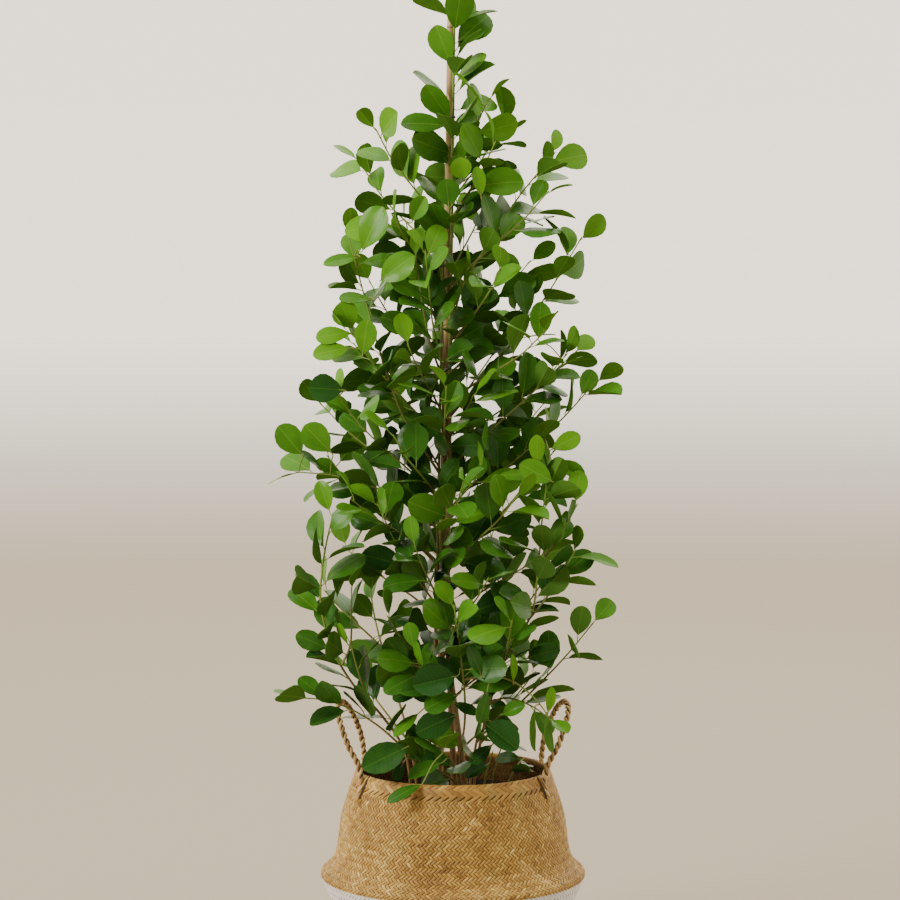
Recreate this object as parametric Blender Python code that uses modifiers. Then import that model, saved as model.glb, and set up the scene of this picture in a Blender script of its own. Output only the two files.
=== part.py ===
"""Potted ficus: leafy stems round a bamboo cane, in a nursery pot inside a seagrass belly basket.

Metres, +Z up. The origin is the centre of the basket's flat base, on the floor. -Y is the front.
"""
import math
import random

import bpy
import bmesh
from mathutils import Matrix, Vector
from mathutils.bvhtree import BVHTree
from mathutils.geometry import convex_hull_2d

GAP = 0.0003                 # between two pieces that touch
UP = Vector((0, 0, 1))

# Basket: (radius, height) down its outer wall, from the rim over the folded lip to the flat base
BASKET_WALL = 0.005
BASKET_STEPS = 28
BASKET_OUTER = (
    (0.1470, 0.3030), (0.1500, 0.2960), (0.1590, 0.2660), (0.1695, 0.2295), (0.1755, 0.1860),
    (0.1830, 0.1640), (0.1990, 0.1480), (0.1975, 0.1360), (0.1830, 0.1020), (0.1600, 0.0400),
    (0.1350, 0.0000),
)

# Rope handles: the left one's route, from its front end on the wall over the top to its back end
ROPE_RADIUS = 0.0043
ROPE_POINTS = 15
HANDLE_LEFT = (
    (-0.1480, -0.0790, 0.2500), (-0.1435, -0.0765, 0.2720), (-0.1370, -0.0730, 0.3010),
    (-0.1410, -0.0700, 0.3200), (-0.1575, -0.0600, 0.3500), (-0.1720, -0.0340, 0.3900),
    (-0.1700, -0.0020, 0.4030), (-0.1590, 0.0320, 0.3900), (-0.1440, 0.0600, 0.3520),
    (-0.1380, 0.0710, 0.3200), (-0.1370, 0.0735, 0.3010), (-0.1435, 0.0765, 0.2720),
    (-0.1480, 0.0790, 0.2500),
)
# The finger gap through each loop, kept clear of leaves
HANDLE_GAP_X = (0.118, 0.200)
HANDLE_GAP_Y = 0.040
HANDLE_GAP_Z = (0.311, 0.368)
SIDE_MARGIN = 0.004          # between a gap and the stems that stay in front of it or behind

# Nursery pot and soil
POT_STEPS = 22
POT_WALL = 0.0018
POT_OUTER = ((0.1350, 0.2620), (0.1350, 0.2480), (0.1310, 0.2460), (0.1050, BASKET_WALL + GAP))
SOIL_TOP = ((0.0, 0.2575), (0.0700, 0.2550))
SOIL_EDGE_Z = 0.2500
STEM_DEPTH = 0.045           # how far the stems and the cane stand in the soil
BORE_PLAY = 0.0008           # between a stem and its hole in the soil

# Bamboo cane: it leans a little to the right on its way up
CANE_RADIUS = 0.0055
CANE_FOOT = (-0.0203, 0.2655)
CANE_LEAN = 0.0146
CANE_TOP = 1.500
CANE_NODES = (0.36, 0.60, 0.83, 1.06, 1.235, 1.413)

# Ties, each a dark band round the cane and the stems that pass at its height
TIE_HEIGHTS = (0.585, 0.735, 0.876, 1.003, 1.059, 1.280)
TIE_WIRE = 0.0008
TIE_PLAY = 0.0011
TIE_POINTS = 14

# Leaves
LEAF_KEEL = 0.0018           # thickness at the midrib
ROOT_HALF = 0.0007           # half width at its root, a small three-sided rod
LEAF_OUTLINE = ((0.42, 0.92), (0.82, 0.82), (1.00, 0.0))     # share of the blade, share of width
LEAF_SEED = 11
LEAF_TRIES = 14              # a leaf that is in the way of another is turned round its twig
LEAF_GAP = 0.0016            # kept between leaves of the same plant
TWIG_FIRST = 0.34            # share of a side branch that stays bare
TWIG_SPACING = 0.0315        # between the leaves of a side branch
TIP_FIRST = 0.04             # the same two for the free top of a main stem
TIP_SPACING = 0.025
TIP_POINTS = 12

# Main stems that are tied to the cane: slot = azimuth round the cane in degrees, foot = where it
# leaves the soil, join and leave = the heights between which it follows the cane, then its free top
# Side branches: (height on the stem, tip, lift of the tip: up above 0, nodding below 0)
# stay_y: the stem stays wholly in front of the handles' finger gaps (-1) or behind them (1)
STEMS = {
    "stem_1": dict(
        slot=308, foot=(0.0195, -0.0130), join=0.50, leave=1.480, radius=(0.0056, 0.0018),
        top=((0.006, -0.010, 1.515), (0.003, -0.008, 1.535)), leaves_from=1.10,
        sides=(
            (0.410, (0.085, -0.085, 0.490), 0.2), (0.500, (0.050, -0.120, 0.600), 0.3),
            (0.600, (0.090, -0.135, 0.720), 0.3), (0.690, (0.040, -0.075, 0.755), 0.3),
            (0.755, (0.165, -0.060, 0.925), 0.3), (0.800, (0.028, -0.085, 0.865), 0.3),
            (0.850, (0.132, -0.105, 0.960), 0.4), (0.935, (0.068, -0.112, 1.050), 0.4),
            (0.985, (0.022, -0.075, 1.055), 0.3), (1.030, (0.138, -0.050, 1.165), 0.3),
            (1.130, (0.060, -0.070, 1.235), 0.4), (1.215, (0.050, -0.035, 1.300), 0.4),
        )),
    "stem_2": dict(
        slot=205, foot=(-0.040, -0.020), join=0.52, leave=1.110, radius=(0.0036, 0.0012),
        top=((-0.040, -0.022, 1.150), (-0.075, -0.035, 1.195), (-0.100, -0.045, 1.228),
             (-0.112, -0.050, 1.256)), leaves_from=1.15,
        sides=(
            (0.440, (-0.095, -0.085, 0.540), 0.2), (0.550, (-0.110, -0.070, 0.705), 0.4),
            (0.615, (-0.145, -0.115, 0.715), 0.2), (0.665, (-0.230, -0.030, 0.752), -0.4),
            (0.710, (-0.168, -0.080, 0.865), 0.4),
            (0.750, (-0.1545, -0.030, 1.100), 0.3), (0.800, (-0.145, -0.085, 0.955), 0.3),
            (0.900, (-0.055, -0.062, 1.070), 0.5), (1.025, (-0.088, -0.060, 1.130), 0.3),
        )),
    "stem_3": dict(
        slot=154, foot=(-0.044, 0.016), join=0.50, leave=1.060, radius=(0.0036, 0.0012),
        top=((-0.050, 0.030, 1.105), (-0.095, 0.045, 1.150), (-0.123, 0.050, 1.187),
             (-0.141, 0.050, 1.218)), leaves_from=1.12,
        sides=(
            (0.530, (-0.165, 0.070, 0.630), 0.3), (0.610, (-0.188, 0.030, 0.770), 0.4),
            (0.700, (-0.200, 0.050, 0.850), 0.3), (0.800, (-0.150, 0.085, 0.940), 0.4),
            (0.890, (-0.125, 0.035, 1.035), 0.4), (0.960, (-0.070, 0.090, 1.120), 0.4),
        )),
    "stem_4": dict(
        slot=359, foot=(0.004, 0.020), join=0.50, leave=0.980, radius=(0.0036, 0.0012),
        top=((0.020, 0.002, 1.040), (0.066, 0.008, 1.113), (0.1005, 0.010, 1.1655),
             (0.123, 0.010, 1.1925), (0.150, 0.010, 1.225)), leaves_from=1.06,
        sides=(
            (0.530, (0.160, 0.035, 0.640), 0.2), (0.610, (0.150, 0.000, 0.780), 0.4),
            (0.680, (0.212, -0.012, 0.885), 0.3), (0.780, (0.186, 0.045, 0.930), 0.2),
            (0.835, (0.190, 0.000, 1.098), 0.3), (0.900, (0.115, 0.055, 1.010), 0.4),
        )),
    "stem_5": dict(
        slot=256, foot=(-0.020, -0.036), join=0.50, leave=0.900, radius=(0.0034, 0.0012),
        top=((-0.028, -0.045, 0.960), (-0.036, -0.085, 1.030), (-0.040, -0.105, 1.075)),
        leaves_from=0.94,
        sides=(
            (0.400, (-0.055, -0.120, 0.490), 0.2), (0.455, (0.005, -0.135, 0.540), 0.2),
            (0.545, (-0.055, -0.145, 0.650), 0.2), (0.600, (-0.020, -0.075, 0.665), 0.3),
            (0.640, (0.015, -0.160, 0.745), 0.2), (0.700, (-0.085, -0.145, 0.810), 0.3),
            (0.775, (-0.010, -0.140, 0.880), 0.3), (0.835, (-0.065, -0.105, 0.940), 0.3),
        )),
    "stem_6": dict(
        slot=51, foot=(0.000, 0.042), join=0.54, leave=1.150, radius=(0.0034, 0.0012),
        top=((0.030, 0.032, 1.200), (0.060, 0.042, 1.245), (0.082, 0.048, 1.275)),
        leaves_from=1.15,
        sides=(
            (0.600, (0.110, 0.125, 0.720), 0.2), (0.710, (0.140, 0.100, 0.850), 0.3),
            (0.830, (0.080, 0.130, 0.960), 0.3), (0.945, (0.115, 0.080, 1.065), 0.3),
            (1.050, (0.045, 0.085, 1.150), 0.4),
        )),
    "stem_7": dict(
        slot=102, foot=(-0.030, 0.038), join=0.52, leave=0.920, radius=(0.0034, 0.0012),
        top=((-0.022, 0.045, 0.980), (-0.028, 0.085, 1.050), (-0.028, 0.110, 1.095)),
        leaves_from=0.96,
        sides=(
            (0.560, (-0.030, 0.165, 0.670), 0.2), (0.650, (0.025, 0.165, 0.780), 0.2),
            (0.745, (-0.085, 0.145, 0.850), 0.3), (0.830, (-0.015, 0.145, 0.940), 0.3),
        )),
    "stem_8": dict(
        foot=(-0.062, -0.052), radius=(0.0026, 0.0012), stay_y=-1,
        top=((-0.068, -0.056, 0.320), (-0.086, -0.062, 0.370), (-0.1365, -0.072, 0.4245),
             (-0.174, -0.080, 0.4845), (-0.192, -0.084, 0.543), (-0.195, -0.084, 0.585),
             (-0.190, -0.082, 0.630), (-0.178, -0.078, 0.690)), leaves_from=0.40,
        sides=(
            (0.345, (-0.228, -0.105, 0.4250), -0.5), (0.410, (-0.148, -0.122, 0.500), 0.4),
            (0.470, (-0.150, -0.074, 0.580), 0.5),
        )),
    "stem_9": dict(
        foot=(0.030, -0.050), radius=(0.0026, 0.0012), stay_y=-1,
        top=((0.036, -0.054, 0.320), (0.047, -0.058, 0.380), (0.073, -0.066, 0.468),
             (0.104, -0.074, 0.520), (0.121, -0.080, 0.565), (0.127, -0.082, 0.640),
             (0.134, -0.082, 0.714), (0.140, -0.082, 0.7545)), leaves_from=0.46,
        sides=(
            (0.350, (0.205, -0.080, 0.530), 0.2), (0.410, (0.142, -0.098, 0.3920), -0.7),
            (0.450, (0.085, -0.138, 0.540), 0.3), (0.535, (0.178, -0.076, 0.635), 0.3),
            (0.620, (0.180, -0.094, 0.705), 0.3),
        )),
    "stem_10": dict(
        foot=(0.008, -0.048), radius=(0.0024, 0.0012),
        top=((0.010, -0.056, 0.320), (0.018, -0.080, 0.400), (0.012, -0.110, 0.480),
             (0.002, -0.128, 0.560)), leaves_from=0.40,
        sides=(
            (0.285, (-0.085, -0.100, 0.340), -0.2), (0.300, (-0.015, -0.130, 0.350), -0.1),
            (0.340, (0.068, -0.115, 0.400), 0.1), (0.400, (-0.045, -0.125, 0.470), 0.3),
        )),
    "stem_11": dict(
        foot=(0.026, 0.050), radius=(0.0024, 0.0012),
        top=((0.036, 0.064, 0.330), (0.056, 0.092, 0.420), (0.070, 0.125, 0.500),
             (0.070, 0.145, 0.580), (0.060, 0.150, 0.640)), leaves_from=0.42,
        sides=(
            (0.330, (0.125, 0.105, 0.430), 0.1), (0.400, (0.000, 0.150, 0.490), 0.2),
            (0.480, (0.150, 0.120, 0.590), 0.3),
        )),
    "stem_12": dict(
        foot=(-0.056, 0.052), radius=(0.0024, 0.0012), stay_y=1,
        top=((-0.066, 0.062, 0.330), (-0.092, 0.088, 0.420), (-0.118, 0.115, 0.500),
             (-0.130, 0.125, 0.570)), leaves_from=0.40,
        sides=(
            (0.330, (-0.155, 0.095, 0.440), 0.0), (0.400, (-0.050, 0.150, 0.500), 0.3),
            (0.470, (-0.195, 0.080, 0.560), 0.2),
        )),
}
SLOT_CLEARANCE = 0.0009      # between the cane and a stem that follows it
STEM_POINTS = 9              # along a stem that isn't tied
TWIG_POINTS = 5
TWIG_RADIUS = (0.0021, 0.0012)
TWIG_TRIES = 14              # a side branch that is in the way of another is bent aside
TWIG_STEP = 0.004
SLIM_RATIO = 0.80           # the share of a leafy stem's faces that stays after its union


def cane_at(z):
    """The cane's centre at height z."""
    return Vector((CANE_FOOT[0] + (z - CANE_FOOT[1]) * CANE_LEAN, 0, z))


def smooth_route(points, count):
    """count points spread evenly along a Catmull-Rom curve through the given points."""
    points = [Vector(p) for p in points]
    ends = [2 * points[0] - points[1], *points, 2 * points[-1] - points[-2]]
    fine = []
    for a, b, c, d in zip(ends, ends[1:], ends[2:], ends[3:]):
        for k in range(12):
            t = k / 12
            fine.append(0.5 * (2 * b + (c - a) * t + (2 * a - 5 * b + 4 * c - d) * t * t
                               + (3 * b - a - 3 * c + d) * t ** 3))
    fine.append(points[-1])
    return spread_evenly(fine, count)


def spread_evenly(fine, count):
    """count points at even distances along the polyline fine."""
    lengths = [0.0]
    for a, b in zip(fine, fine[1:]):
        lengths.append(lengths[-1] + (b - a).length)
    result, i = [], 0
    for k in range(count):
        want = lengths[-1] * k / (count - 1)
        while i < len(fine) - 2 and lengths[i + 1] < want:
            i += 1
        part = (want - lengths[i]) / max(lengths[i + 1] - lengths[i], 1e-9)
        result.append(fine[i].lerp(fine[i + 1], min(part, 1.0)))
    return result


def stem_radius(spec, z):
    """A stem's radius at height z: it tapers from its foot to its tip."""
    low, high = SOIL_EDGE_Z, spec["top"][-1][2]
    share = min(max((z - low) / (high - low), 0), 1)
    return spec["radius"][0] + (spec["radius"][1] - spec["radius"][0]) * share ** 0.8


def beside_cane(spec, z):
    """Where a tied stem's centre runs at height z, in its own slot round the cane."""
    slot = math.radians(spec["slot"])
    away = CANE_RADIUS + SLOT_CLEARANCE + stem_radius(spec, z)
    return cane_at(z) + away * Vector((math.cos(slot), math.sin(slot), 0))


def stem_route(spec):
    """The main stem's route, from inside the soil, along the cane if it is tied, to its tip."""
    x, y = spec["foot"]
    soil_z = SOIL_TOP[1][1]
    foot = [(x, y, soil_z - STEM_DEPTH), (x, y, soil_z + 0.01)]
    if "slot" not in spec:
        return smooth_route(foot + list(spec["top"]), STEM_POINTS)
    join, leave = spec["join"], spec["leave"]
    low = smooth_route([*foot, beside_cane(spec, join), beside_cane(spec, join + 0.05)], 5)
    along = [beside_cane(spec, join + share * (leave - join)) for share in (0.35, 0.70)]
    high = smooth_route([beside_cane(spec, leave - 0.03), beside_cane(spec, leave), *spec["top"]], 5)
    return [*low, *along, *high]


def point_at_height(route, z):
    """The point of a rising route at height z."""
    for a, b in zip(route, route[1:]):
        if a.z <= z <= b.z:
            return a.lerp(b, (z - a.z) / (b.z - a.z))
    return route[-1].copy()


def side_route(start, tip, lift, sway):
    """A side branch: it leaves the stem steeply and ends at its tip, a little lifted or nodding."""
    tip = Vector(tip) + sway
    chord = tip - start
    out = Vector((chord.x, chord.y, 0)).normalized()
    first = (0.7 * out + 0.75 * UP).normalized()
    last = (chord.normalized() + lift * UP).normalized()
    reach = chord.length
    a, b = start + 0.30 * reach * first + sway * 0.5, tip - 0.32 * reach * last
    fine = []
    for k in range(25):
        t = k / 24
        fine.append((1 - t) ** 3 * start + 3 * (1 - t) ** 2 * t * a
                    + 3 * (1 - t) * t * t * b + t ** 3 * tip)
    return spread_evenly(fine, TWIG_POINTS)


def tube_object(name, route, radii, resolution, cyclic=False):
    """A tube along a route as a closed mesh; resolution 0 gives 4 sides, 1 gives 6, 2 gives 8."""
    curve = bpy.data.curves.new(name, "CURVE")
    curve.dimensions = "3D"
    curve.bevel_depth = 1.0
    curve.bevel_resolution = resolution
    curve.use_fill_caps = not cyclic
    spline = curve.splines.new("POLY")
    spline.points.add(len(route) - 1)
    for point, place, radius in zip(spline.points, route, radii):
        point.co = (*place, 1)
        point.radius = radius
    spline.use_cyclic_u = cyclic
    source = bpy.data.objects.new(name + "_curve", curve)
    bpy.context.scene.collection.objects.link(source)
    mesh = baked_mesh(source)
    bpy.data.objects.remove(source)
    bm = bmesh.new()
    bm.from_mesh(mesh)
    bmesh.ops.remove_doubles(bm, verts=bm.verts, dist=1e-6)
    bmesh.ops.recalc_face_normals(bm, faces=bm.faces)
    bm.to_mesh(mesh)
    bm.free()
    mesh.name = name
    return bpy.data.objects.new(name, mesh)


def leaf_bmesh(leaf, grow=0.0):
    """A leaf as one closed blade: a sphere of four rings and three columns, drawn out to the
    outline. The columns become the two rims and the keel under the midrib."""
    root, along, face = leaf["root"], leaf["along"], leaf["face"]
    side = along.cross(face)
    rings = [(root - along * 0.0004, 0), (root, ROOT_HALF)]
    for share, half in LEAF_OUTLINE:
        sag = leaf["droop"] * leaf["length"] * share ** 2
        centre = root + along * (leaf["petiole"] + share * leaf["length"]) - face * sag
        rings.append((centre, half * leaf["width"] / 2))
    bm = bmesh.new()
    bmesh.ops.create_uvsphere(bm, u_segments=3, v_segments=4, radius=1)
    for vert in bm.verts:
        ring = round(math.acos(max(-1, min(1, vert.co.z))) / (math.pi / 4))
        column = round(math.atan2(vert.co.x, vert.co.y) / (math.tau / 3))
        centre, half = rings[ring]
        thin = ring == 1
        if ring in (0, 4):
            vert.co = centre + along * (grow if ring == 4 else 0)
        elif column == 0:
            vert.co = centre - face * ((ROOT_HALF if thin else LEAF_KEEL) + 2 * grow)
        else:
            rise = ROOT_HALF / 2 if thin else 0
            vert.co = centre + side * column * (half + grow) + face * (rise + grow)
    if bm.calc_volume(signed=True) < 0:
        bmesh.ops.reverse_faces(bm, faces=bm.faces)
    bmesh.ops.triangulate(bm, faces=bm.faces)
    return bm


def object_tree(obj):
    """A mesh object's search tree, in world space."""
    return BVHTree.FromPolygons([obj.matrix_world @ v.co for v in obj.data.vertices],
                                [p.vertices[:] for p in obj.data.polygons])


class Clearing:
    """What the plant has to stay clear of: each thing's name, search tree, centre and reach."""

    def __init__(self):
        self.things = []

    def add(self, name, tree, points):
        centre = sum(points, Vector()) / len(points)
        reach = max((p - centre).length for p in points)
        self.things.append((name, tree, centre, reach))

    def add_object(self, obj):
        self.add(obj.name, object_tree(obj), [obj.matrix_world @ v.co for v in obj.data.vertices])

    def hit(self, tree, points, stem, skip=()):
        """Whether anything but the skipped names is crossed, or the stem's own bound is."""
        stay = STEMS[stem].get("stay_y")
        if stay and min(p.y * stay for p in points) < HANDLE_GAP_Y + SIDE_MARGIN:
            return True
        centre = sum(points, Vector()) / len(points)
        reach = max((p - centre).length for p in points)
        return any(
            (centre - other_centre).length < reach + other_reach and tree.overlap(other)
            for name, other, other_centre, other_reach in self.things if name not in skip)


def leaf_choice(rng, twig, place, turn, age, sway):
    """One leaf on a twig: place is its share of the way along, age 0 at the tip to 1 when old."""
    index = min(int(place * (len(twig) - 1)), len(twig) - 2)
    root = twig[index].lerp(twig[index + 1], place * (len(twig) - 1) - index)
    tangent = (twig[index + 1] - twig[index]).normalized()
    across = tangent.orthogonal().normalized()
    outward = Matrix.Rotation(turn + sway, 3, tangent) @ across
    spread = math.radians(rng.uniform(38, 62)) * (0.55 + 0.45 * age)
    along = (math.cos(spread) * tangent + math.sin(spread) * outward + 0.22 * UP).normalized()
    radial = Vector((root.x, root.y, 0)).normalized()
    light = UP * 0.9 + radial * 0.6 + Vector([rng.uniform(-0.6, 0.6) for _ in range(3)])
    face = (light - along * light.dot(along)).normalized()
    length = rng.uniform(0.048, 0.065) * (0.70 + 0.30 * age)
    return dict(root=root, along=along, face=face, length=length,
                petiole=rng.uniform(0.008, 0.013), width=length * rng.uniform(0.62, 0.74),
                droop=rng.uniform(0.05, 0.22))


def grow_leaves(rng, clearing, stem, twig, twig_name, first, spacing):
    """Leaves along a stem's twig from its tip down to the share first, each turned until clear."""
    length = sum((b - a).length for a, b in zip(twig, twig[1:]))
    leaves, turn = [], rng.uniform(0, math.tau)
    count = max(int(length * (1 - first) / spacing), 2)
    for k in range(count + 1):
        place = 1 - 0.003 / length - k * (1 - first) / count
        turn += math.radians(137.5)
        age = min(k / 3, 1)
        for attempt in range(LEAF_TRIES):
            sway = math.radians(24) * ((attempt + 1) // 2) * (-1) ** attempt
            leaf = leaf_choice(rng, twig, max(place, 0.02), turn, age, sway)
            bm = leaf_bmesh(leaf, LEAF_GAP / 2)
            tree, points = BVHTree.FromBMesh(bm), [v.co.copy() for v in bm.verts]
            bm.free()
            if not clearing.hit(tree, points, stem, skip=(twig_name,)):
                clearing.add(f"{twig_name}_leaf", tree, points)
                leaves.append(leaf)
                break
    return leaves


def plan_plant(clearing):
    """Main stems first, then side branches bent clear of each other, then the leaves."""
    plan = {}
    for name, spec in STEMS.items():
        route = stem_route(spec)
        radii = [stem_radius(spec, p.z) for p in route]
        obj = tube_object(name, route, radii, 1)
        clearing.add_object(obj)
        plan[name] = dict(obj=obj, route=route, twigs=[])
    rng = random.Random(LEAF_SEED)
    thick, thin = TWIG_RADIUS
    twig_radii = [thick + (thin - thick) * k / (TWIG_POINTS - 1) for k in range(TWIG_POINTS)]
    for name, spec in STEMS.items():
        for number, (height, tip, lift) in enumerate(spec["sides"], 1):
            twig_name = f"{name}_side_{number}"
            start = point_at_height(plan[name]["route"], height)
            for attempt in range(TWIG_TRIES):
                angle, step = rng.uniform(0, math.tau), TWIG_STEP * attempt
                sway = step * Vector((math.cos(angle), math.sin(angle), 0.3))
                route = side_route(start, tip, lift, sway)
                obj = tube_object(twig_name, route, twig_radii, 0)
                tree, points = object_tree(obj), [v.co.copy() for v in obj.data.vertices]
                if not clearing.hit(tree, points, name, skip=(name,)):
                    clearing.add(twig_name, tree, points)
                    plan[name]["twigs"].append((twig_name, obj, route))
                    break
                bpy.data.objects.remove(obj)
    for name, spec in STEMS.items():
        leaves = []
        for twig_name, _, route in plan[name]["twigs"]:
            leaves += grow_leaves(rng, clearing, name, route, twig_name, TWIG_FIRST, TWIG_SPACING)
        low = spec["leaves_from"]
        top = [point_at_height(plan[name]["route"], low)]
        top += [p for p in plan[name]["route"] if p.z > low]
        top = spread_evenly(top, TIP_POINTS)
        leaves += grow_leaves(rng, clearing, name, top, name, TIP_FIRST, TIP_SPACING)
        plan[name]["leaves"] = leaves
    return plan


def baked_mesh(obj):
    """The object's mesh with its modifiers applied."""
    bpy.context.view_layer.update()
    return bpy.data.meshes.new_from_object(obj.evaluated_get(bpy.context.evaluated_depsgraph_get()))


def slim(obj):
    """Takes out the points that a union leaves along straight edges."""
    decimate = obj.modifiers.new("slim", "DECIMATE")
    decimate.ratio = SLIM_RATIO
    decimate.use_collapse_triangulate = True
    obj.data = baked_mesh(obj)
    obj.modifiers.clear()


def keep_main_body(mesh):
    """Drops loose scraps."""
    bm = bmesh.new()
    bm.from_mesh(mesh)
    left, bodies = set(bm.verts), []
    while left:
        stack, body = [left.pop()], []
        while stack:
            vert = stack.pop()
            body.append(vert)
            for edge in vert.link_edges:
                other = edge.other_vert(vert)
                if other in left:
                    left.remove(other)
                    stack.append(other)
        bodies.append(body)
    bodies.sort(key=len)
    bmesh.ops.delete(bm, geom=[v for body in bodies[:-1] for v in body], context="VERTS")
    bmesh.ops.triangulate(bm, faces=bm.faces)
    bm.to_mesh(mesh)
    bm.free()


def apply_boolean(obj, operation, tools):
    """Joins or cuts obj with every tool object at once, then removes the tools."""
    collection = bpy.data.collections.new(obj.name + "_tools")
    bpy.context.scene.collection.children.link(collection)
    for tool in tools:
        collection.objects.link(tool)
    modifier = obj.modifiers.new("join", "BOOLEAN")
    modifier.operation = operation
    modifier.operand_type = "COLLECTION"
    modifier.collection = collection
    modifier.solver = "EXACT"
    obj.data = baked_mesh(obj)
    obj.modifiers.clear()
    for tool in tools:
        bpy.data.objects.remove(tool)
    bpy.data.collections.remove(collection)


def material(name, colour, roughness, metallic=0.0):
    """A plain Principled material."""
    made = bpy.data.materials.new(name)
    made.use_nodes = True
    shader = made.node_tree.nodes["Principled BSDF"]
    shader.inputs["Base Color"].default_value = (*colour, 1)
    shader.inputs["Roughness"].default_value = roughness
    shader.inputs["Metallic"].default_value = metallic
    return made


def offset_profile(profile, wall):
    """The profile moved inward by the wall's thickness, along its own normals."""
    moved = []
    for k, (radius, height) in enumerate(profile):
        a, b = profile[max(k - 1, 0)], profile[min(k + 1, len(profile) - 1)]
        run = Vector((b[0] - a[0], b[1] - a[1])).normalized()
        moved.append((radius + run.y * wall, height - run.x * wall))
    return moved


def turned(name, profile, steps):
    """A closed turned solid from a profile that runs out from the axis, up, over and back to it."""
    mesh = bpy.data.meshes.new(name)
    bm = bmesh.new()
    verts = [bm.verts.new((radius, 0, height)) for radius, height in profile]
    for a, b in zip(verts, verts[1:]):
        bm.edges.new((a, b))
    bm.to_mesh(mesh)
    bm.free()
    obj = bpy.data.objects.new(name, mesh)
    screw = obj.modifiers.new("turn", "SCREW")
    screw.steps = screw.render_steps = steps
    screw.use_merge_vertices = True
    screw.merge_threshold = 0.00001
    screw.use_normal_calculate = True
    return obj


def basket_profile():
    """Inner floor, up the inner wall, over the rim and down the outer wall to the base."""
    inner = offset_profile(BASKET_OUTER[1:], BASKET_WALL)[:-1]
    floor = (BASKET_OUTER[-1][0] - BASKET_WALL, BASKET_WALL)
    rim = (BASKET_OUTER[0][0] - BASKET_WALL, BASKET_OUTER[0][1])
    return [(0, BASKET_WALL), floor, *reversed(inner), rim, *BASKET_OUTER, (0, 0)]


def pot_inner_radius(z):
    """The nursery pot's inner radius at height z on its sloping wall."""
    (r1, z1), (r0, z0) = POT_OUTER[2], POT_OUTER[3]
    return r0 + (r1 - r0) * (z - z0) / (z1 - z0) - POT_WALL


def pot_profile():
    """A thin cup with a thick rolled rim."""
    base = POT_OUTER[3][1]
    floor = base + POT_WALL
    rim_in = pot_inner_radius(POT_OUTER[2][1])
    return [(0, floor), (pot_inner_radius(floor), floor), (rim_in, POT_OUTER[2][1]),
            (rim_in, POT_OUTER[0][1]), *POT_OUTER, (0, base)]


def soil_profile():
    """Soil fills the pot, a little mounded in the middle."""
    floor = POT_OUTER[3][1] + POT_WALL + GAP
    low, high = pot_inner_radius(floor) - GAP, pot_inner_radius(SOIL_EDGE_Z) - 1.5 * GAP
    return [*SOIL_TOP, (high, SOIL_EDGE_Z), (low, floor), (0, floor)]


def build_cane():
    """A tapered rod with a raised ring at each node."""
    heights = [SOIL_TOP[1][1] - STEM_DEPTH]
    radii = [CANE_RADIUS]
    for z in CANE_NODES:
        heights += [z - 0.005, z, z + 0.005]
        radii += [CANE_RADIUS, CANE_RADIUS + 0.0006, CANE_RADIUS]
    heights.append(CANE_TOP)
    radii.append(CANE_RADIUS)
    return tube_object("bamboo_cane", [cane_at(z) for z in heights], radii, 2)


def build_tie(name, height, plan):
    """A band round the cane and the stems that follow it at this height."""
    rounds = [(cane_at(height), CANE_RADIUS)]
    for stem, spec in STEMS.items():
        if "slot" in spec and spec["join"] < height < spec["leave"]:
            rounds.append((point_at_height(plan[stem]["route"], height), stem_radius(spec, height)))
    points = []
    for centre, radius in rounds:
        reach = radius + TIE_WIRE + TIE_PLAY
        for k in range(12):
            angle = math.tau * k / 12
            points.append(Vector((centre.x + reach * math.cos(angle),
                                  centre.y + reach * math.sin(angle))))
    hull = [points[i] for i in convex_hull_2d(points)]
    loop = [Vector((p.x, p.y, height)) for p in hull]
    loop = spread_evenly(loop + loop[:1], TIE_POINTS + 1)[:-1]
    return tube_object(name, loop, [TIE_WIRE] * len(loop), 0, cyclic=True)


def build_handle(name, flip):
    """One rope loop; its ends lie against the outside of the basket's wall."""
    route = smooth_route([(x * flip, y, z) for x, y, z in HANDLE_LEFT], ROPE_POINTS)
    return tube_object(name, route, [ROPE_RADIUS] * ROPE_POINTS, 2)


def keep_out_boxes(clearing):
    """The finger gaps of the handles, as boxes that no leaf or branch may cross."""
    for flip in (-1, 1):
        bm = bmesh.new()
        bmesh.ops.create_cube(bm, size=1)
        size = (HANDLE_GAP_X[1] - HANDLE_GAP_X[0] + 0.01, 2 * HANDLE_GAP_Y + 0.01,
                HANDLE_GAP_Z[1] - HANDLE_GAP_Z[0] + 0.01)
        centre = (flip * sum(HANDLE_GAP_X) / 2, 0, sum(HANDLE_GAP_Z) / 2)
        bmesh.ops.scale(bm, vec=size, verts=bm.verts)
        bmesh.ops.translate(bm, vec=centre, verts=bm.verts)
        clearing.add("gap", BVHTree.FromBMesh(bm), [v.co.copy() for v in bm.verts])
        bm.free()


def build_holder(link, paints):
    """Basket, handles, nursery pot, soil and cane."""
    objects = [
        (turned("basket", basket_profile(), BASKET_STEPS), "seagrass"),
        (build_handle("handle_left", 1), "rope"),
        (build_handle("handle_right", -1), "rope"),
        (turned("nursery_pot", pot_profile(), POT_STEPS), "pot_plastic"),
        (turned("soil", soil_profile(), POT_STEPS), "soil"),
        (build_cane(), "bamboo"),
    ]
    for obj, paint in objects:
        obj.data.materials.append(paints[paint])
        link(obj)
    return [obj for obj, _ in objects]


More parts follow.
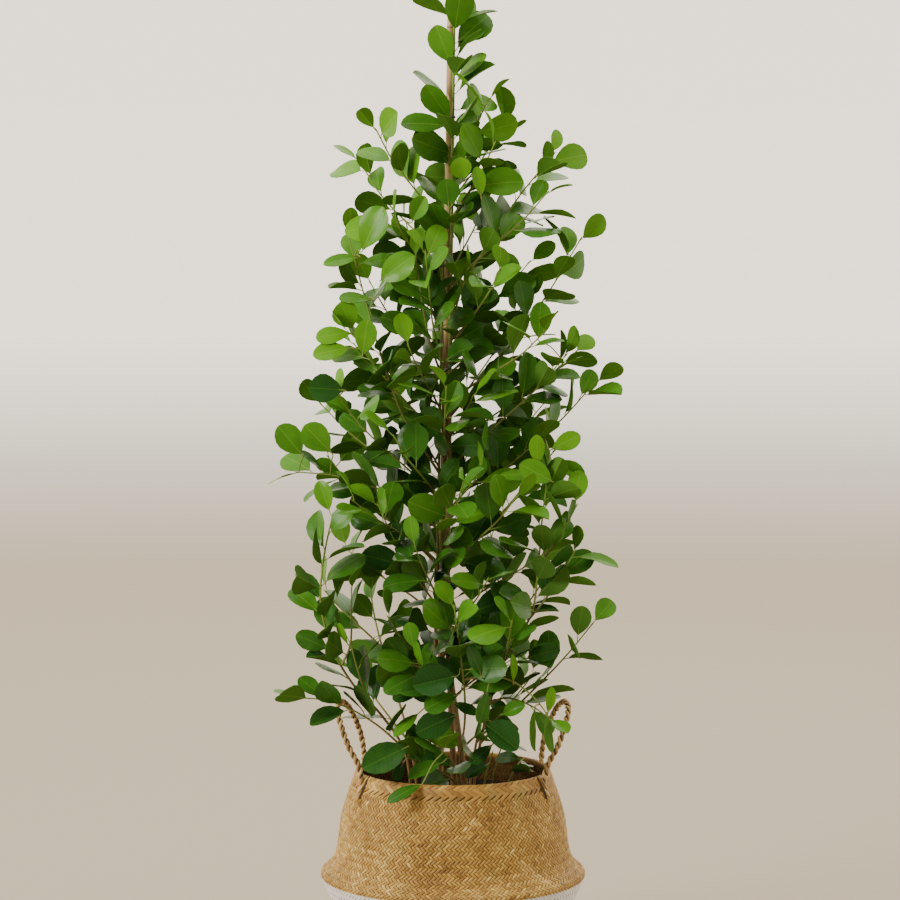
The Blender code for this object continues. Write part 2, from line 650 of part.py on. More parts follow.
def bore_soil(soil, plan):
    """A plain hole in the soil for each stem and for the cane, along its own lowest stretch."""
    soil.data = baked_mesh(soil)
    soil.modifiers.clear()
    runs = {name: (*data["route"][:2], STEMS[name]["radius"][0]) for name, data in plan.items()}
    cane_foot = cane_at(SOIL_TOP[1][1] - STEM_DEPTH)
    runs["cane"] = (cane_foot, cane_at(CANE_FOOT[1] + 0.02), CANE_RADIUS)
    cutters = []
    for name, (foot, above, radius) in runs.items():
        course = (above - foot).normalized()
        ends = [foot - course * 2 * GAP, above + course * 0.03]
        cutters.append(tube_object(f"bore_{name}", ends, [radius + BORE_PLAY] * 2, 2))
    apply_boolean(soil, "DIFFERENCE", cutters)


def build_plant(objects, link, paints):
    """The leafy stems, each joined to its branches and leaves, and their ties."""
    clearing = Clearing()
    for obj in objects:
        if obj.name not in ("nursery_pot", "soil"):
            bpy.context.view_layer.update()
            seen = obj.evaluated_get(bpy.context.evaluated_depsgraph_get())
            clearing.add_object(seen)
    keep_out_boxes(clearing)
    routes = {name: dict(route=stem_route(spec)) for name, spec in STEMS.items()}
    for number, height in enumerate(TIE_HEIGHTS, 1):
        tie = build_tie(f"tie_{number}", height, routes)
        tie.data.materials.append(paints["tie"])
        link(tie)
        clearing.add_object(tie)
    plan = plan_plant(clearing)
    bore_soil(next(obj for obj in objects if obj.name == "soil"), plan)
    for name, data in plan.items():
        tools = [obj for _, obj, _ in data["twigs"]]
        for number, leaf in enumerate(data["leaves"]):
            mesh = bpy.data.meshes.new(f"{name}_leaf_{number}")
            bm = leaf_bmesh(leaf)
            bm.to_mesh(mesh)
            bm.free()
            tools.append(bpy.data.objects.new(mesh.name, mesh))
        link(data["obj"])
        apply_boolean(data["obj"], "UNION", tools)
        slim(data["obj"])
        keep_main_body(data["obj"].data)
        data["obj"].data.materials.clear()
        data["obj"].data.materials.append(paints["leaf"])


def main():
    for obj in list(bpy.data.objects):
        bpy.data.objects.remove(obj)
    parts = bpy.data.collections.new("potted_ficus")
    bpy.context.scene.collection.children.link(parts)
    paints = {
        "seagrass": material("seagrass", (0.52, 0.35, 0.17), 0.75),
        "rope": material("rope", (0.45, 0.30, 0.14), 0.8),
        "pot_plastic": material("pot_plastic", (0.03, 0.03, 0.03), 0.5),
        "soil": material("soil", (0.06, 0.04, 0.03), 0.95),
        "bamboo": material("bamboo", (0.60, 0.43, 0.24), 0.5),
        "tie": material("tie", (0.02, 0.02, 0.02), 0.6),
        "leaf": material("leaf", (0.08, 0.20, 0.03), 0.4),
    }
    objects = build_holder(parts.objects.link, paints)
    build_plant(objects, parts.objects.link, paints)


main()
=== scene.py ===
import math
import random

import bmesh
import bpy
import numpy as np
from mathutils import Matrix, Vector
from mathutils.bvhtree import BVHTree
from mathutils.geometry import convex_hull_2d


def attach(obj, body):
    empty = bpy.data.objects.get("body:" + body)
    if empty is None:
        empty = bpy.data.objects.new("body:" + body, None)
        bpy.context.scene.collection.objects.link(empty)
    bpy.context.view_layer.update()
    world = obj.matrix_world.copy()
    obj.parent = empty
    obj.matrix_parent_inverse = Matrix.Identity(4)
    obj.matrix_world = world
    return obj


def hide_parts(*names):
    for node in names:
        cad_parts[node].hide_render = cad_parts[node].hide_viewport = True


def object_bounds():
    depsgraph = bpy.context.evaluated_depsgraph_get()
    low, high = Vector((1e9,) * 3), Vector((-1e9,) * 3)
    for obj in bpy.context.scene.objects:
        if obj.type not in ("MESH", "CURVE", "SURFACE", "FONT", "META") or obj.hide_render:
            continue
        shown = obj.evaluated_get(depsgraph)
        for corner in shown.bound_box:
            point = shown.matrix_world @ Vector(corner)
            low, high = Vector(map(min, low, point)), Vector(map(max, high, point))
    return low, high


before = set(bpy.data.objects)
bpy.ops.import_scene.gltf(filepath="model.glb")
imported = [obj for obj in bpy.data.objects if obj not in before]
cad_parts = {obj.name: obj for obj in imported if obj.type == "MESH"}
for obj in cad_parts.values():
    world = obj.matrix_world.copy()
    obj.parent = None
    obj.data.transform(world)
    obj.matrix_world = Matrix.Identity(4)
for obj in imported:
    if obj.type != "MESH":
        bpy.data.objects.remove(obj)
cad_box = [list(corner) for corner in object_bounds()]
bpy.ops.object.select_all(action="DESELECT")

# Camera. A long lens stands far in front of the plant, a little above half its height, and looks
# three degrees down.
bpy.ops.object.camera_add(location=(-0.0045, -3.75, 0.98), rotation=(math.radians(87.0), 0, 0))
camera = bpy.context.object
camera.data.lens = 100
camera.data.sensor_width = 36
bpy.context.scene.camera = camera

# Studio. A pale round floor runs up into a pale domed wall without a corner. Four soft lights
# stand inside it: a large key at the upper left, a fill at the right, one above and one behind.
STUDIO_RADIUS = 9.0
CORNER_RADIUS = 3.0           # of the bend between the floor and the wall
FLOOR_COLOUR = (0.33, 0.265, 0.175, 1)
WALL_COLOUR = (0.10, 0.095, 0.085, 1)
GLOW_COLOUR = (1.0, 0.895, 0.745, 1)
WALL_GLOW = 2.07              # the wall glows a little, so that it stays as pale as the floor
GLOW_GRADES = (("Z", -0.14, 0.90, 0.0, WALL_GLOW), ("Y", -6.5, 0.0, 0.14, 1.0))
bpy.ops.mesh.primitive_uv_sphere_add(segments=96, ring_count=48, radius=STUDIO_RADIUS)
studio = bpy.context.object
studio.name = "studio"
bpy.ops.object.mode_set(mode="EDIT")
bpy.ops.mesh.select_all(action="SELECT")
bpy.ops.mesh.bisect(plane_co=(0, 0, 0), plane_no=(0, 0, 1), use_fill=True, clear_inner=True)
bpy.ops.mesh.bevel(offset=CORNER_RADIUS, segments=16)
bpy.ops.mesh.select_all(action="SELECT")
bpy.ops.mesh.normals_make_consistent(inside=True)
bpy.ops.object.mode_set(mode="OBJECT")
bpy.ops.object.shade_smooth()
studio.visible_shadow = False
plaster = bpy.data.materials.new("pale_plaster")
plaster.use_nodes = True
shader = plaster.node_tree.nodes["Principled BSDF"]
shader.inputs["Roughness"].default_value = 0.9
shader.inputs["Emission Color"].default_value = GLOW_COLOUR
nodes, links = plaster.node_tree.nodes, plaster.node_tree.links
place, split = nodes.new("ShaderNodeTexCoord"), nodes.new("ShaderNodeSeparateXYZ")
links.new(place.outputs["Object"], split.inputs["Vector"])
glow = nodes.new("ShaderNodeMath")
glow.operation = "MULTIPLY"
fade = nodes.new("ShaderNodeMix")
fade.data_type = "RGBA"
fade.inputs[6].default_value = FLOOR_COLOUR
fade.inputs[7].default_value = WALL_COLOUR
links.new(fade.outputs[2], shader.inputs["Base Color"])
for index, (axis, start, stop, least, most) in enumerate(GLOW_GRADES):
    grade = nodes.new("ShaderNodeMapRange")
    for socket, value in (("From Min", start), ("From Max", stop), ("To Min", least),
                          ("To Max", most)):
        grade.inputs[socket].default_value = value
    links.new(split.outputs[axis], grade.inputs["Value"])
    links.new(grade.outputs["Result"], glow.inputs[index])
    if axis == "Z":
        links.new(grade.outputs["Result"], fade.inputs["Factor"])
links.new(glow.outputs[0], shader.inputs["Emission Strength"])
plaster.cycles.emission_sampling = "NONE"
studio.data.materials.append(plaster)

for light_name, place, aim, size, power, tint in (
        ("key", (-3.4, -2.5, 2.5), (0, 0, 0.65), 1.7, 196, (1.0, 0.96, 0.88)),
        ("fill", (3.0, -2.6, 1.6), (0, 0, 0.6), 2.6, 9, (1.0, 0.985, 0.95)),
        ("top", (0.3, 0.2, 3.9), (0, 0, 0.5), 2.4, 34, (1.0, 0.99, 0.97)),
        ("back", (0.8, 3.2, 2.6), (0, 0, 0.8), 2.4, 18, (1.0, 0.98, 0.95))):
    bpy.ops.object.light_add(type="AREA", location=place)
    lamp = bpy.context.object
    lamp.name = light_name
    lamp.rotation_euler = (Vector(aim) - Vector(place)).to_track_quat("-Z", "Y").to_euler()
    lamp.data.shape = "DISK"
    lamp.data.size = size
    lamp.data.energy = power
    lamp.data.color = tint
sky = bpy.data.worlds.new("sky")
bpy.context.scene.world = sky
sky.use_nodes = True
sky.node_tree.nodes["Background"].inputs["Color"].default_value = (1.0, 0.98, 0.95, 1)
sky.node_tree.nodes["Background"].inputs["Strength"].default_value = 0.19

# Belly basket. One shell of flat seagrass strips, plaited on the bias two over, two under, so that
# the strips stand in rows that lean left and right in turn. The strips keep their number and their
# width, so they lie flatter where the basket is wide. The half below the lip is painted white.
BASKET_WALL = 0.005
BASKET_OUTER = (
    (0.1470, 0.3030), (0.1500, 0.2960), (0.1590, 0.2660), (0.1695, 0.2295), (0.1755, 0.1860),
    (0.1830, 0.1640), (0.1990, 0.1480), (0.1975, 0.1360), (0.1830, 0.1020), (0.1600, 0.0400),
    (0.1350, 0.0000),
)
RIM_HALF = BASKET_WALL / 2
RIM_CENTRE = (0.1445, 0.3030 - RIM_HALF)
STRIPS = 164                  # strips that lean each way
STRIP_WIDTH = 0.00445
STRIP_REACH = 1.45            # half a strip's length, in crossings
STRIP_SINK = 0.0020           # the lining of the shell lies this far under its skin
BORDER_STRIPS = 82            # broad strips that are folded over the rim
BORDER_WIDTH = 0.0068
BORDER_DEPTH = 0.0250         # the fine weave starts this far down the outside
BORDER_SPAN = (-0.030, 0.045)
BORDER_PHASE = 3.44           # the half row that lies on the rim's top
INSIDE_SPAN = (-0.0085, -0.175)
PAINT_LINE = 0.1405           # the white paint's upper edge, under the lip
PAINT_BLUR = 0.0004
SKIN_STEP = 0.0005            # between the places where the skin is known
TUCK_DEPTH = 1.5              # mm that a strip's ends dip under the skin; a strip this deep is painted in full shade
MM = 1000


def route_length(route):
    """The length of a route of straight stretches."""
    return sum((b - a).length for a, b in zip(route, route[1:]))


def spread_evenly(fine, count):
    """count points at even distances along the polyline fine."""
    lengths = [0.0]
    for a, b in zip(fine, fine[1:]):
        lengths.append(lengths[-1] + (b - a).length)
    result, i = [], 0
    for k in range(count):
        want = lengths[-1] * k / (count - 1)
        while i < len(fine) - 2 and lengths[i + 1] < want:
            i += 1
        part = (want - lengths[i]) / max(lengths[i + 1] - lengths[i], 1e-9)
        result.append(fine[i].lerp(fine[i + 1], min(part, 1.0)))
    return result


def smooth_route(points, count):
    """count points spread evenly along a Catmull-Rom curve through the given points."""
    points = [Vector(p) for p in points]
    ends = [2 * points[0] - points[1], *points, 2 * points[-1] - points[-2]]
    fine = []
    for a, b, c, d in zip(ends, ends[1:], ends[2:], ends[3:]):
        for k in range(12):
            t = k / 12
            fine.append(0.5 * (2 * b + (c - a) * t + (2 * a - 5 * b + 4 * c - d) * t * t
                               + (3 * b - a - 3 * c + d) * t ** 3))
    fine.append(points[-1])
    return spread_evenly(fine, count)


class Skin:
    """The basket's skin from its inner floor up, over the rim and down to the base: at each
    distance from the rim's top (below 0 inside) its radius, height and outward direction."""

    def __init__(self):
        skip_rim = [(RIM_CENTRE[0] + RIM_HALF, RIM_CENTRE[1]), *BASKET_OUTER[2:]]
        outer = smooth_route([(r, 0, z) for r, z in skip_rim], 700)
        out = np.array([(p.x, p.z) for p in outer])
        run = np.gradient(out, axis=0)
        run /= np.linalg.norm(run, axis=1)[:, None]
        inner = (out + np.stack([run[:, 1], -run[:, 0]], 1) * BASKET_WALL)[::-1]
        inner = inner[(inner[:, 1] > 0.012) & (inner[:, 1] < RIM_CENTRE[1])]
        turn = np.linspace(0, math.pi, 16)[1:-1]
        rim = np.stack([RIM_CENTRE[0] - RIM_HALF * np.cos(turn),
                        RIM_CENTRE[1] + RIM_HALF * np.sin(turn)], 1)
        path = np.concatenate([inner, rim, out])
        along = np.concatenate([[0], np.cumsum(np.linalg.norm(np.diff(path, axis=0), axis=1))])
        top = along[np.argmax(path[:, 1])]
        self.at = np.arange(along[0], along[-1], SKIN_STEP) - top
        self.r = np.interp(self.at, along - top, path[:, 0])
        self.z = np.interp(self.at, along - top, path[:, 1])
        window = np.ones(5) / 5
        run_r = np.convolve(np.gradient(self.r), window, "same")
        run_z = np.convolve(np.gradient(self.z), window, "same")
        size = np.hypot(run_r, run_z)
        self.out_r, self.out_z = -run_z / size, run_r / size

    def place(self, turn, at, lift):
        """Points at these turns round the axis, distances along the skin and lifts off it."""
        r = np.interp(at, self.at, self.r) + lift * np.interp(at, self.at, self.out_r)
        z = np.interp(at, self.at, self.z) + lift * np.interp(at, self.at, self.out_z)
        return np.stack([r * np.sin(turn), -r * np.cos(turn), z], -1)

    def rows(self, start, stop, strips, width):
        """How far along the skin each half row of crossings lies, from start to stop."""
        at = np.arange(start, stop, SKIN_STEP if stop > start else -SKIN_STEP)
        pitch = math.tau * np.interp(at, self.at, self.r) / strips
        height = width * pitch / np.sqrt(np.maximum(pitch ** 2 - width ** 2, 1e-8))
        return np.concatenate([[0], np.cumsum(2 * abs(at[1] - at[0]) / height[1:])]), at


def pick(test):
    """Selects the points of the mesh in edit mode whose place passes the test."""
    bm = bmesh.from_edit_mesh(bpy.context.object.data)
    for vert in bm.verts:
        vert.select_set(test(vert.co))
    bm.select_flush_mode()
    bmesh.update_edit_mesh(bpy.context.object.data)


def strip_blank(along, across):
    """One strip between two tucks, as points (run, side, lift in mm) and faces. It is domed, its
    edges turn down, and both ends dip under the strips that cross it."""
    bpy.ops.mesh.primitive_grid_add(x_subdivisions=along, y_subdivisions=across, size=2)
    blank = bpy.context.object
    bpy.ops.object.mode_set(mode="EDIT")
    bpy.ops.mesh.select_mode(type="VERT")
    bpy.ops.mesh.select_all(action="SELECT")
    bpy.ops.transform.resize(value=(STRIP_REACH, 0.48, 1), center_override=(0, 0, 0))
    pick(lambda co: abs(co.x) > STRIP_REACH - 0.05)
    bpy.ops.transform.translate(value=(0, 0, -TUCK_DEPTH))
    pick(lambda co: 0.5 < abs(co.x) < STRIP_REACH - 0.05)
    bpy.ops.transform.resize(value=(1.15, 1, 1), center_override=(0, 0, 0))
    bpy.ops.transform.translate(value=(0, 0, -0.15))
    pick(lambda co: abs(co.y) > 0.45)
    bpy.ops.transform.translate(value=(0, 0, -0.75))
    pick(lambda co: 0.1 < abs(co.y) < 0.45)
    bpy.ops.transform.resize(value=(1, 1.65, 1), center_override=(0, 0, 0))
    bpy.ops.transform.translate(value=(0, 0, -0.12))
    bpy.ops.object.mode_set(mode="OBJECT")
    points = np.array([v.co for v in blank.data.vertices])
    faces = np.array([p.vertices[:] for p in blank.data.polygons])
    bpy.data.objects.remove(blank)
    return points, faces


def laid_mesh(name, verts, faces, uvs, values):
    """A smooth mesh object from quads, with a UV map and one number a point under each name."""
    mesh = bpy.data.meshes.new(name)
    mesh.from_pydata(verts.tolist(), [], faces.tolist())
    mesh.polygons.foreach_set("use_smooth", [True] * len(mesh.polygons))
    mesh.uv_layers.new(name="run").data.foreach_set("uv", uvs.reshape(-1))
    for key, numbers in values.items():
        layer = mesh.attributes.new(key, "FLOAT", "POINT")
        layer.data.foreach_set("value", numbers.reshape(-1))
    made = bpy.data.objects.new(name, mesh)
    bpy.context.scene.collection.objects.link(made)
    return made


def lay_strips(name, blank, table, strips, width, first, last, seed, place, fit=(0.93, 0.93),
               depth=1.2, level=0.5):
    """Copies the strip to every crossing from half row first to last, bent to the surface. fit
    narrows the strips that lean each way, depth scales their dips and level is their mean tone."""
    points, faces = blank
    rng = np.random.default_rng(seed)
    marks, at = table
    run_tone = rng.normal(level, 0.08, (2, strips))
    all_verts, all_faces, all_uvs, all_tones, all_tuck_shades = [], [], [], [], []
    count = 0
    for k in range(math.floor(first / 4), math.ceil(last / 4) + 1):
        for kind in (0, 1):
            centre = 4 * k + (0.5, 2.5)[kind]
            if not first <= centre <= last:
                continue
            own = np.arange(strips)
            a, b = (own + 2 * k, own - 2 * k - 0.5) if kind == 0 else (own + 2 * k + 2.5, own - 2 * k)
            run, side, lift = (np.broadcast_to(column, (strips, len(points))) for column in points.T)
            jitter = rng.normal(0, 1, (5, strips, 1))
            side = side * (fit[kind] + 0.02 * np.clip(jitter[0], -2, 2)) \
                + 0.03 * jitter[1] * run / STRIP_REACH
            run = run + 0.04 * jitter[2]
            lift = lift * depth + 0.10 * jitter[3] + 0.22 * jitter[4] * side
            if kind == 0:
                a_at, b_at = a[:, None] - side, b[:, None] + run
            else:
                a_at, b_at = a[:, None] + run, b[:, None] + side
            turn = math.tau * (a_at + b_at) / 2 / strips
            verts = place(turn, np.interp(a_at - b_at, marks, at), lift / MM)
            tone = run_tone[kind][(a if kind == 0 else b).astype(int) % strips]
            tone = tone + rng.normal(0, 0.10, strips)
            shift = rng.uniform(0, 500, (strips, 1))
            uv = np.stack([side * width * MM, run * width * MM + shift], -1)
            base = count + len(points) * own[:, None, None]
            all_faces.append((faces[None] + base).reshape(-1, 4))
            all_uvs.append(uv[:, faces].reshape(-1, 4, 2))
            all_verts.append(verts.reshape(-1, 3))
            all_tones.append(np.repeat(tone, len(points)))
            # painted shade: the deeper a point dips under the skin, the darker it is painted
            all_tuck_shades.append(np.clip(-lift / TUCK_DEPTH, 0, 1).reshape(-1))
            count += strips * len(points)
    verts, faces = np.concatenate(all_verts), np.concatenate(all_faces)
    return laid_mesh(name, verts, faces, np.concatenate(all_uvs),
                     {"tone": np.concatenate(all_tones), "tuck_shade": np.concatenate(all_tuck_shades)})


def face_outwards(obj, outward):
    """Turns the faces that look into the wall; outward gives a point's outward direction."""
    mesh = obj.data
    wrong = [p.index for p in mesh.polygons if p.normal.dot(outward(p.center)) < 0]
    bm = bmesh.new()
    bm.from_mesh(mesh)
    bm.faces.ensure_lookup_table()
    bmesh.ops.reverse_faces(bm, faces=[bm.faces[i] for i in wrong])
    bm.to_mesh(mesh)
    bm.free()


def new_material(name):
    """An empty material, its node tree, its shader and a call that adds and wires a node."""
    made = bpy.data.materials.new(name)
    made.use_nodes = True
    tree = made.node_tree

    def add(kind, inputs=(), **settings):
        node = tree.nodes.new(kind)
        for key, value in settings.items():
            setattr(node, key, value)
        for key, value in dict(inputs).items():
            if isinstance(value, bpy.types.NodeSocket):
                tree.links.new(value, node.inputs[key])
            else:
                node.inputs[key].default_value = value
        return node

    return made, tree, tree.nodes["Principled BSDF"], add


def ramp(add, factor, stops):
    """A colour ramp with these (position, colour) stops."""
    node = add("ShaderNodeValToRGB", {"Fac": factor})
    while len(node.color_ramp.elements) < len(stops):
        node.color_ramp.elements.new(0.5)
    for element, (position, colour) in zip(node.color_ramp.elements, stops):
        element.position = position
        element.color = (*colour, 1)
    return node.outputs["Color"]


def mix(add, factor, a, b, blend="MIX"):
    """Two colours mixed."""
    node = add("ShaderNodeMix", data_type="RGBA", blend_type=blend)
    tree = node.id_data
    for index, value in ((0, factor), (6, a), (7, b)):
        if isinstance(value, bpy.types.NodeSocket):
            tree.links.new(value, node.inputs[index])
        else:
            node.inputs[index].default_value = value if index == 0 else (*value, 1)
    return node.outputs[2]


def span(add, value, low, high, to_low=0.0, to_high=1.0):
    """A value's range stretched to another."""
    node = add("ShaderNodeMapRange", {"Value": value, "From Min": low, "From Max": high,
                                      "To Min": to_low, "To Max": to_high})
    return node.outputs["Result"]


def calculate(add, operation, *values):
    """The result of one Math node."""
    return add("ShaderNodeMath", dict(enumerate(values)), operation=operation).outputs[0]


def noise(add, place, scale, detail=2):
    """Soft noise from 0 to 1 at these places."""
    node = add("ShaderNodeTexNoise", {"Vector": place, "Scale": scale, "Detail": detail})
    return node.outputs["Fac"]


def attribute(add, name):
    """A number that the mesh holds at each point."""
    return add("ShaderNodeAttribute", attribute_name=name).outputs["Fac"]


def emboss(add, shader, height, strength, distance):
    """Gives a shader a relief of this height."""
    node = add("ShaderNodeBump", {"Height": height, "Strength": strength, "Distance": distance})
    shader.id_data.links.new(node.outputs["Normal"], shader.inputs["Normal"])


# Plant fibres, in every dried strip, rope strand and cane: long pale and dark streaks that run
# with the piece, and a fine grain for the light to catch.
fibre = bpy.data.node_groups.new("plant_fibre", "ShaderNodeTree")
for socket, kind in (("Run", "NodeSocketVector"), ("Stretch", "NodeSocketFloat")):
    fibre.interface.new_socket(socket, in_out="INPUT", socket_type=kind)
for socket in ("Streak", "Grain"):
    fibre.interface.new_socket(socket, in_out="OUTPUT", socket_type="NodeSocketFloat")
group_in, group_out = fibre.nodes.new("NodeGroupInput"), fibre.nodes.new("NodeGroupOutput")
split = fibre.nodes.new("ShaderNodeSeparateXYZ")
fibre.links.new(group_in.outputs["Run"], split.inputs[0])
slow = fibre.nodes.new("ShaderNodeMath")
slow.operation = "MULTIPLY"
fibre.links.new(split.outputs["Y"], slow.inputs[0])
fibre.links.new(group_in.outputs["Stretch"], slow.inputs[1])
stretched = fibre.nodes.new("ShaderNodeCombineXYZ")
fibre.links.new(split.outputs["X"], stretched.inputs["X"])
fibre.links.new(slow.outputs[0], stretched.inputs["Y"])
for output, scale in (("Streak", 0.9), ("Grain", 3.2)):
    streaks = fibre.nodes.new("ShaderNodeTexNoise")
    streaks.inputs["Scale"].default_value = scale
    streaks.inputs["Detail"].default_value = 3
    fibre.links.new(stretched.outputs[0], streaks.inputs["Vector"])
    fibre.links.new(streaks.outputs["Fac"], group_out.inputs[output])


def add_fibre(add, run, stretch):
    """The plant fibre group, wired to a piece's own run."""
    node = add("ShaderNodeGroup", node_tree=fibre)
    node.id_data.links.new(run, node.inputs["Run"])
    node.inputs["Stretch"].default_value = stretch
    return node


def seagrass(name, paint_line, shade=0.0):
    """Dried seagrass in straw, tan and brown; below the paint line it is painted white. It is painted
    darker as painted shade where a strip dips under its neighbours, and shade is how much painted shade
    darkens all of it."""
    made, tree, shader, add = new_material(name)
    place = add("ShaderNodeTexCoord").outputs["Object"]
    tone = attribute(add, "tone")
    tuck_shade = attribute(add, "tuck_shade")
    run = add("ShaderNodeUVMap", uv_map="run").outputs["UV"]
    fibres = add_fibre(add, run, 0.10)
    patch = noise(add, place, 13, 2)
    level = calculate(add, "ADD", tone, span(add, patch, 0.3, 0.7, -0.17, 0.17))
    streak = span(add, fibres.outputs["Streak"], 0.3, 0.7, -0.16, 0.16)
    level = calculate(add, "ADD", level, streak)
    dry = ramp(add, level, ((0.0, (0.160, 0.074, 0.011)), (0.30, (0.295, 0.154, 0.026)),
                            (0.55, (0.42, 0.246, 0.048)), (0.78, (0.57, 0.372, 0.095)),
                            (1.0, (0.75, 0.55, 0.20))))
    green = noise(add, place, 31, 1)
    dry = mix(add, span(add, green, 0.55, 0.75, 0.0, 0.45), dry, (0.36, 0.27, 0.070))
    paint = ramp(add, fibres.outputs["Grain"], ((0.25, (0.66, 0.65, 0.62)), (0.6, (0.83, 0.83, 0.81))))
    height = add("ShaderNodeSeparateXYZ", {"Vector": place}).outputs["Z"]
    edge = noise(add, place, 260)
    edge = calculate(add, "ADD", height, span(add, edge, 0, 1, -2 * PAINT_BLUR, 2 * PAINT_BLUR))
    white = span(add, edge, paint_line + PAINT_BLUR, paint_line - PAINT_BLUR)
    # painted shade: the whole material darkened by the shade argument
    dry = mix(add, shade, dry, (0.045, 0.022, 0.008))
    colour = mix(add, white, dry, paint)
    # painted shade: strips darken towards these colours where they dip under the crossing strips
    shadow = mix(add, white, (0.12, 0.055, 0.012), (0.36, 0.31, 0.24))
    colour = mix(add, span(add, tuck_shade, 0.12, 0.75, 0.0, 0.95), colour, shadow)
    tree.links.new(colour, shader.inputs["Base Color"])
    rough = span(add, fibres.outputs["Streak"], 0.3, 0.7, 0.62, 0.48)
    tree.links.new(rough, shader.inputs["Roughness"])
    shader.inputs["Specular IOR Level"].default_value = 0.4
    emboss(add, shader, fibres.outputs["Grain"], 0.35, 0.0004)
    return made


skin = Skin()
strip = strip_blank(4, 4)
broad_strip = strip_blank(6, 4)
thin_strip = strip_blank(4, 2)
outside_rows = skin.rows(BORDER_DEPTH, skin.at[-1], STRIPS, STRIP_WIDTH)
inside_rows = skin.rows(*INSIDE_SPAN, STRIPS, STRIP_WIDTH)
border_rows = skin.rows(*BORDER_SPAN, BORDER_STRIPS, BORDER_WIDTH)
lip_mark = float(np.interp(np.interp(-PAINT_LINE, -skin.z[skin.at > 0.1], skin.at[skin.at > 0.1]),
                           outside_rows[1], outside_rows[0]))
seagrass_natural = seagrass("seagrass_natural", PAINT_LINE)
# The inside wall is the same seagrass with painted shade that darkens it by 0.70.
seagrass_inside_shaded = seagrass("seagrass_inside_shaded", -1.0, 0.70)


def finish_weave(obj, finish, inner=False):
    """Turns the inner strips' faces outwards, and gives the piece its material and body."""
    if inner:
        face_outwards(obj, lambda p: Vector((-p.x, -p.y, 0)))
    obj.data.materials.append(finish)
    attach(obj, "root")
    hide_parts("basket")


# The four legs of the rope handles run down the skin at these turns from the front, and the
# strips rise over each in a hump: its half width, its height, where it starts and ends down the
# skin, and how gently it does.
LEG_TURNS = [math.radians(side * turn) for side in (1, -1) for turn in (61.93, 118.07)]
LEG_RADIUS = 0.155            # the skin's radius beside the legs
HUMP_HALF = 0.0062
HUMP_HEIGHT = 0.0050
HUMP_SPAN = (0.003, 0.056)
HUMP_EASE = (0.006, 0.018)


def over_legs(turn, at, lift):
    """Points of the skin, with the strips raised over the four legs of the rope handles."""
    hump = 0.0
    for leg_turn in LEG_TURNS:
        apart = ((turn - leg_turn + math.pi) % math.tau - math.pi) * LEG_RADIUS
        hump = np.maximum(hump, np.exp(-(apart / HUMP_HALF) ** 2))
    hump = hump * np.clip((at - HUMP_SPAN[0]) / HUMP_EASE[0], 0, 1) \
        * np.clip((HUMP_SPAN[1] - at) / HUMP_EASE[1], 0, 1)
    return skin.place(turn, at, lift + HUMP_HEIGHT * hump)


upper = lay_strips("basket_weave_upper", strip, outside_rows, STRIPS, STRIP_WIDTH, 0.5, lip_mark,
                   3, over_legs)
lower = lay_strips("basket_weave_lower", strip, outside_rows, STRIPS, STRIP_WIDTH, lip_mark,
                   outside_rows[0][-1] - 0.5, 4, skin.place)
inner = lay_strips("basket_weave_inner", thin_strip, inside_rows, STRIPS, STRIP_WIDTH, 0.5,
                   inside_rows[0][-1] - 1, 5, skin.place)
rim_row = float(np.interp(0.0, border_rows[1], border_rows[0]))
border_rows = (border_rows[0] - rim_row + BORDER_PHASE, border_rows[1])
# painted shade: the border's strips get a lower mean tone, for the shade that the leaves cast on it
border = lay_strips("basket_border", broad_strip, border_rows, BORDER_STRIPS, BORDER_WIDTH,
                    2.0, 7.0, 6, over_legs, fit=(0.97, 0.99), depth=0.7, level=0.43)
border_foot = lay_strips("basket_border_foot", broad_strip, border_rows, BORDER_STRIPS,
                         BORDER_WIDTH, 8.0, 9.0, 7, over_legs, fit=(0.82, 0.82), depth=1.0,
                         level=0.40)
for obj in (upper, lower, border, border_foot):
    finish_weave(obj, seagrass_natural)
finish_weave(inner, seagrass_inside_shaded, inner=True)


def spun(name, profile, steps, finish):
    """A closed shell spun from a profile in the XZ plane."""
    mesh = bpy.data.meshes.new(name)
    mesh.from_pydata([(r, 0, z) for r, z in profile], [(i, i + 1) for i in range(len(profile) - 1)], [])
    made = bpy.data.objects.new(name, mesh)
    bpy.context.scene.collection.objects.link(made)
    bpy.ops.object.select_all(action="DESELECT")
    bpy.context.view_layer.objects.active = made
    made.select_set(True)
    bpy.ops.object.mode_set(mode="EDIT")
    bpy.ops.mesh.select_all(action="SELECT")
    bpy.ops.mesh.spin(steps=steps, angle=math.tau, center=(0, 0, 0), axis=(0, 0, 1))
    bpy.ops.mesh.select_all(action="SELECT")
    bpy.ops.mesh.remove_doubles(threshold=0.00002)
    bpy.ops.mesh.normals_make_consistent(inside=False)
    bpy.ops.object.mode_set(mode="OBJECT")
    bpy.ops.object.shade_smooth_by_angle(angle=math.radians(40))
    made.select_set(False)
    made.data.materials.append(finish)
    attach(made, "root")
    return made


# The shell's lining: the hidden half of the strips, seen only in the gaps of the weave, and painted
# much darker
# # than the strips as painted shade in the gaps. Its floor and its underside are flat, and its wall
# follows the skin.
LINING_FLOOR = (0.1290, 0.0032)
LINING_BASE = (0.1325, 0.0016)
lining_shade_finish, tree, shader, add = new_material("seagrass_lining_shade")
place = add("ShaderNodeTexCoord").outputs["Object"]
height = add("ShaderNodeSeparateXYZ", {"Vector": place}).outputs["Z"]
murk = noise(add, place, 120, 3)
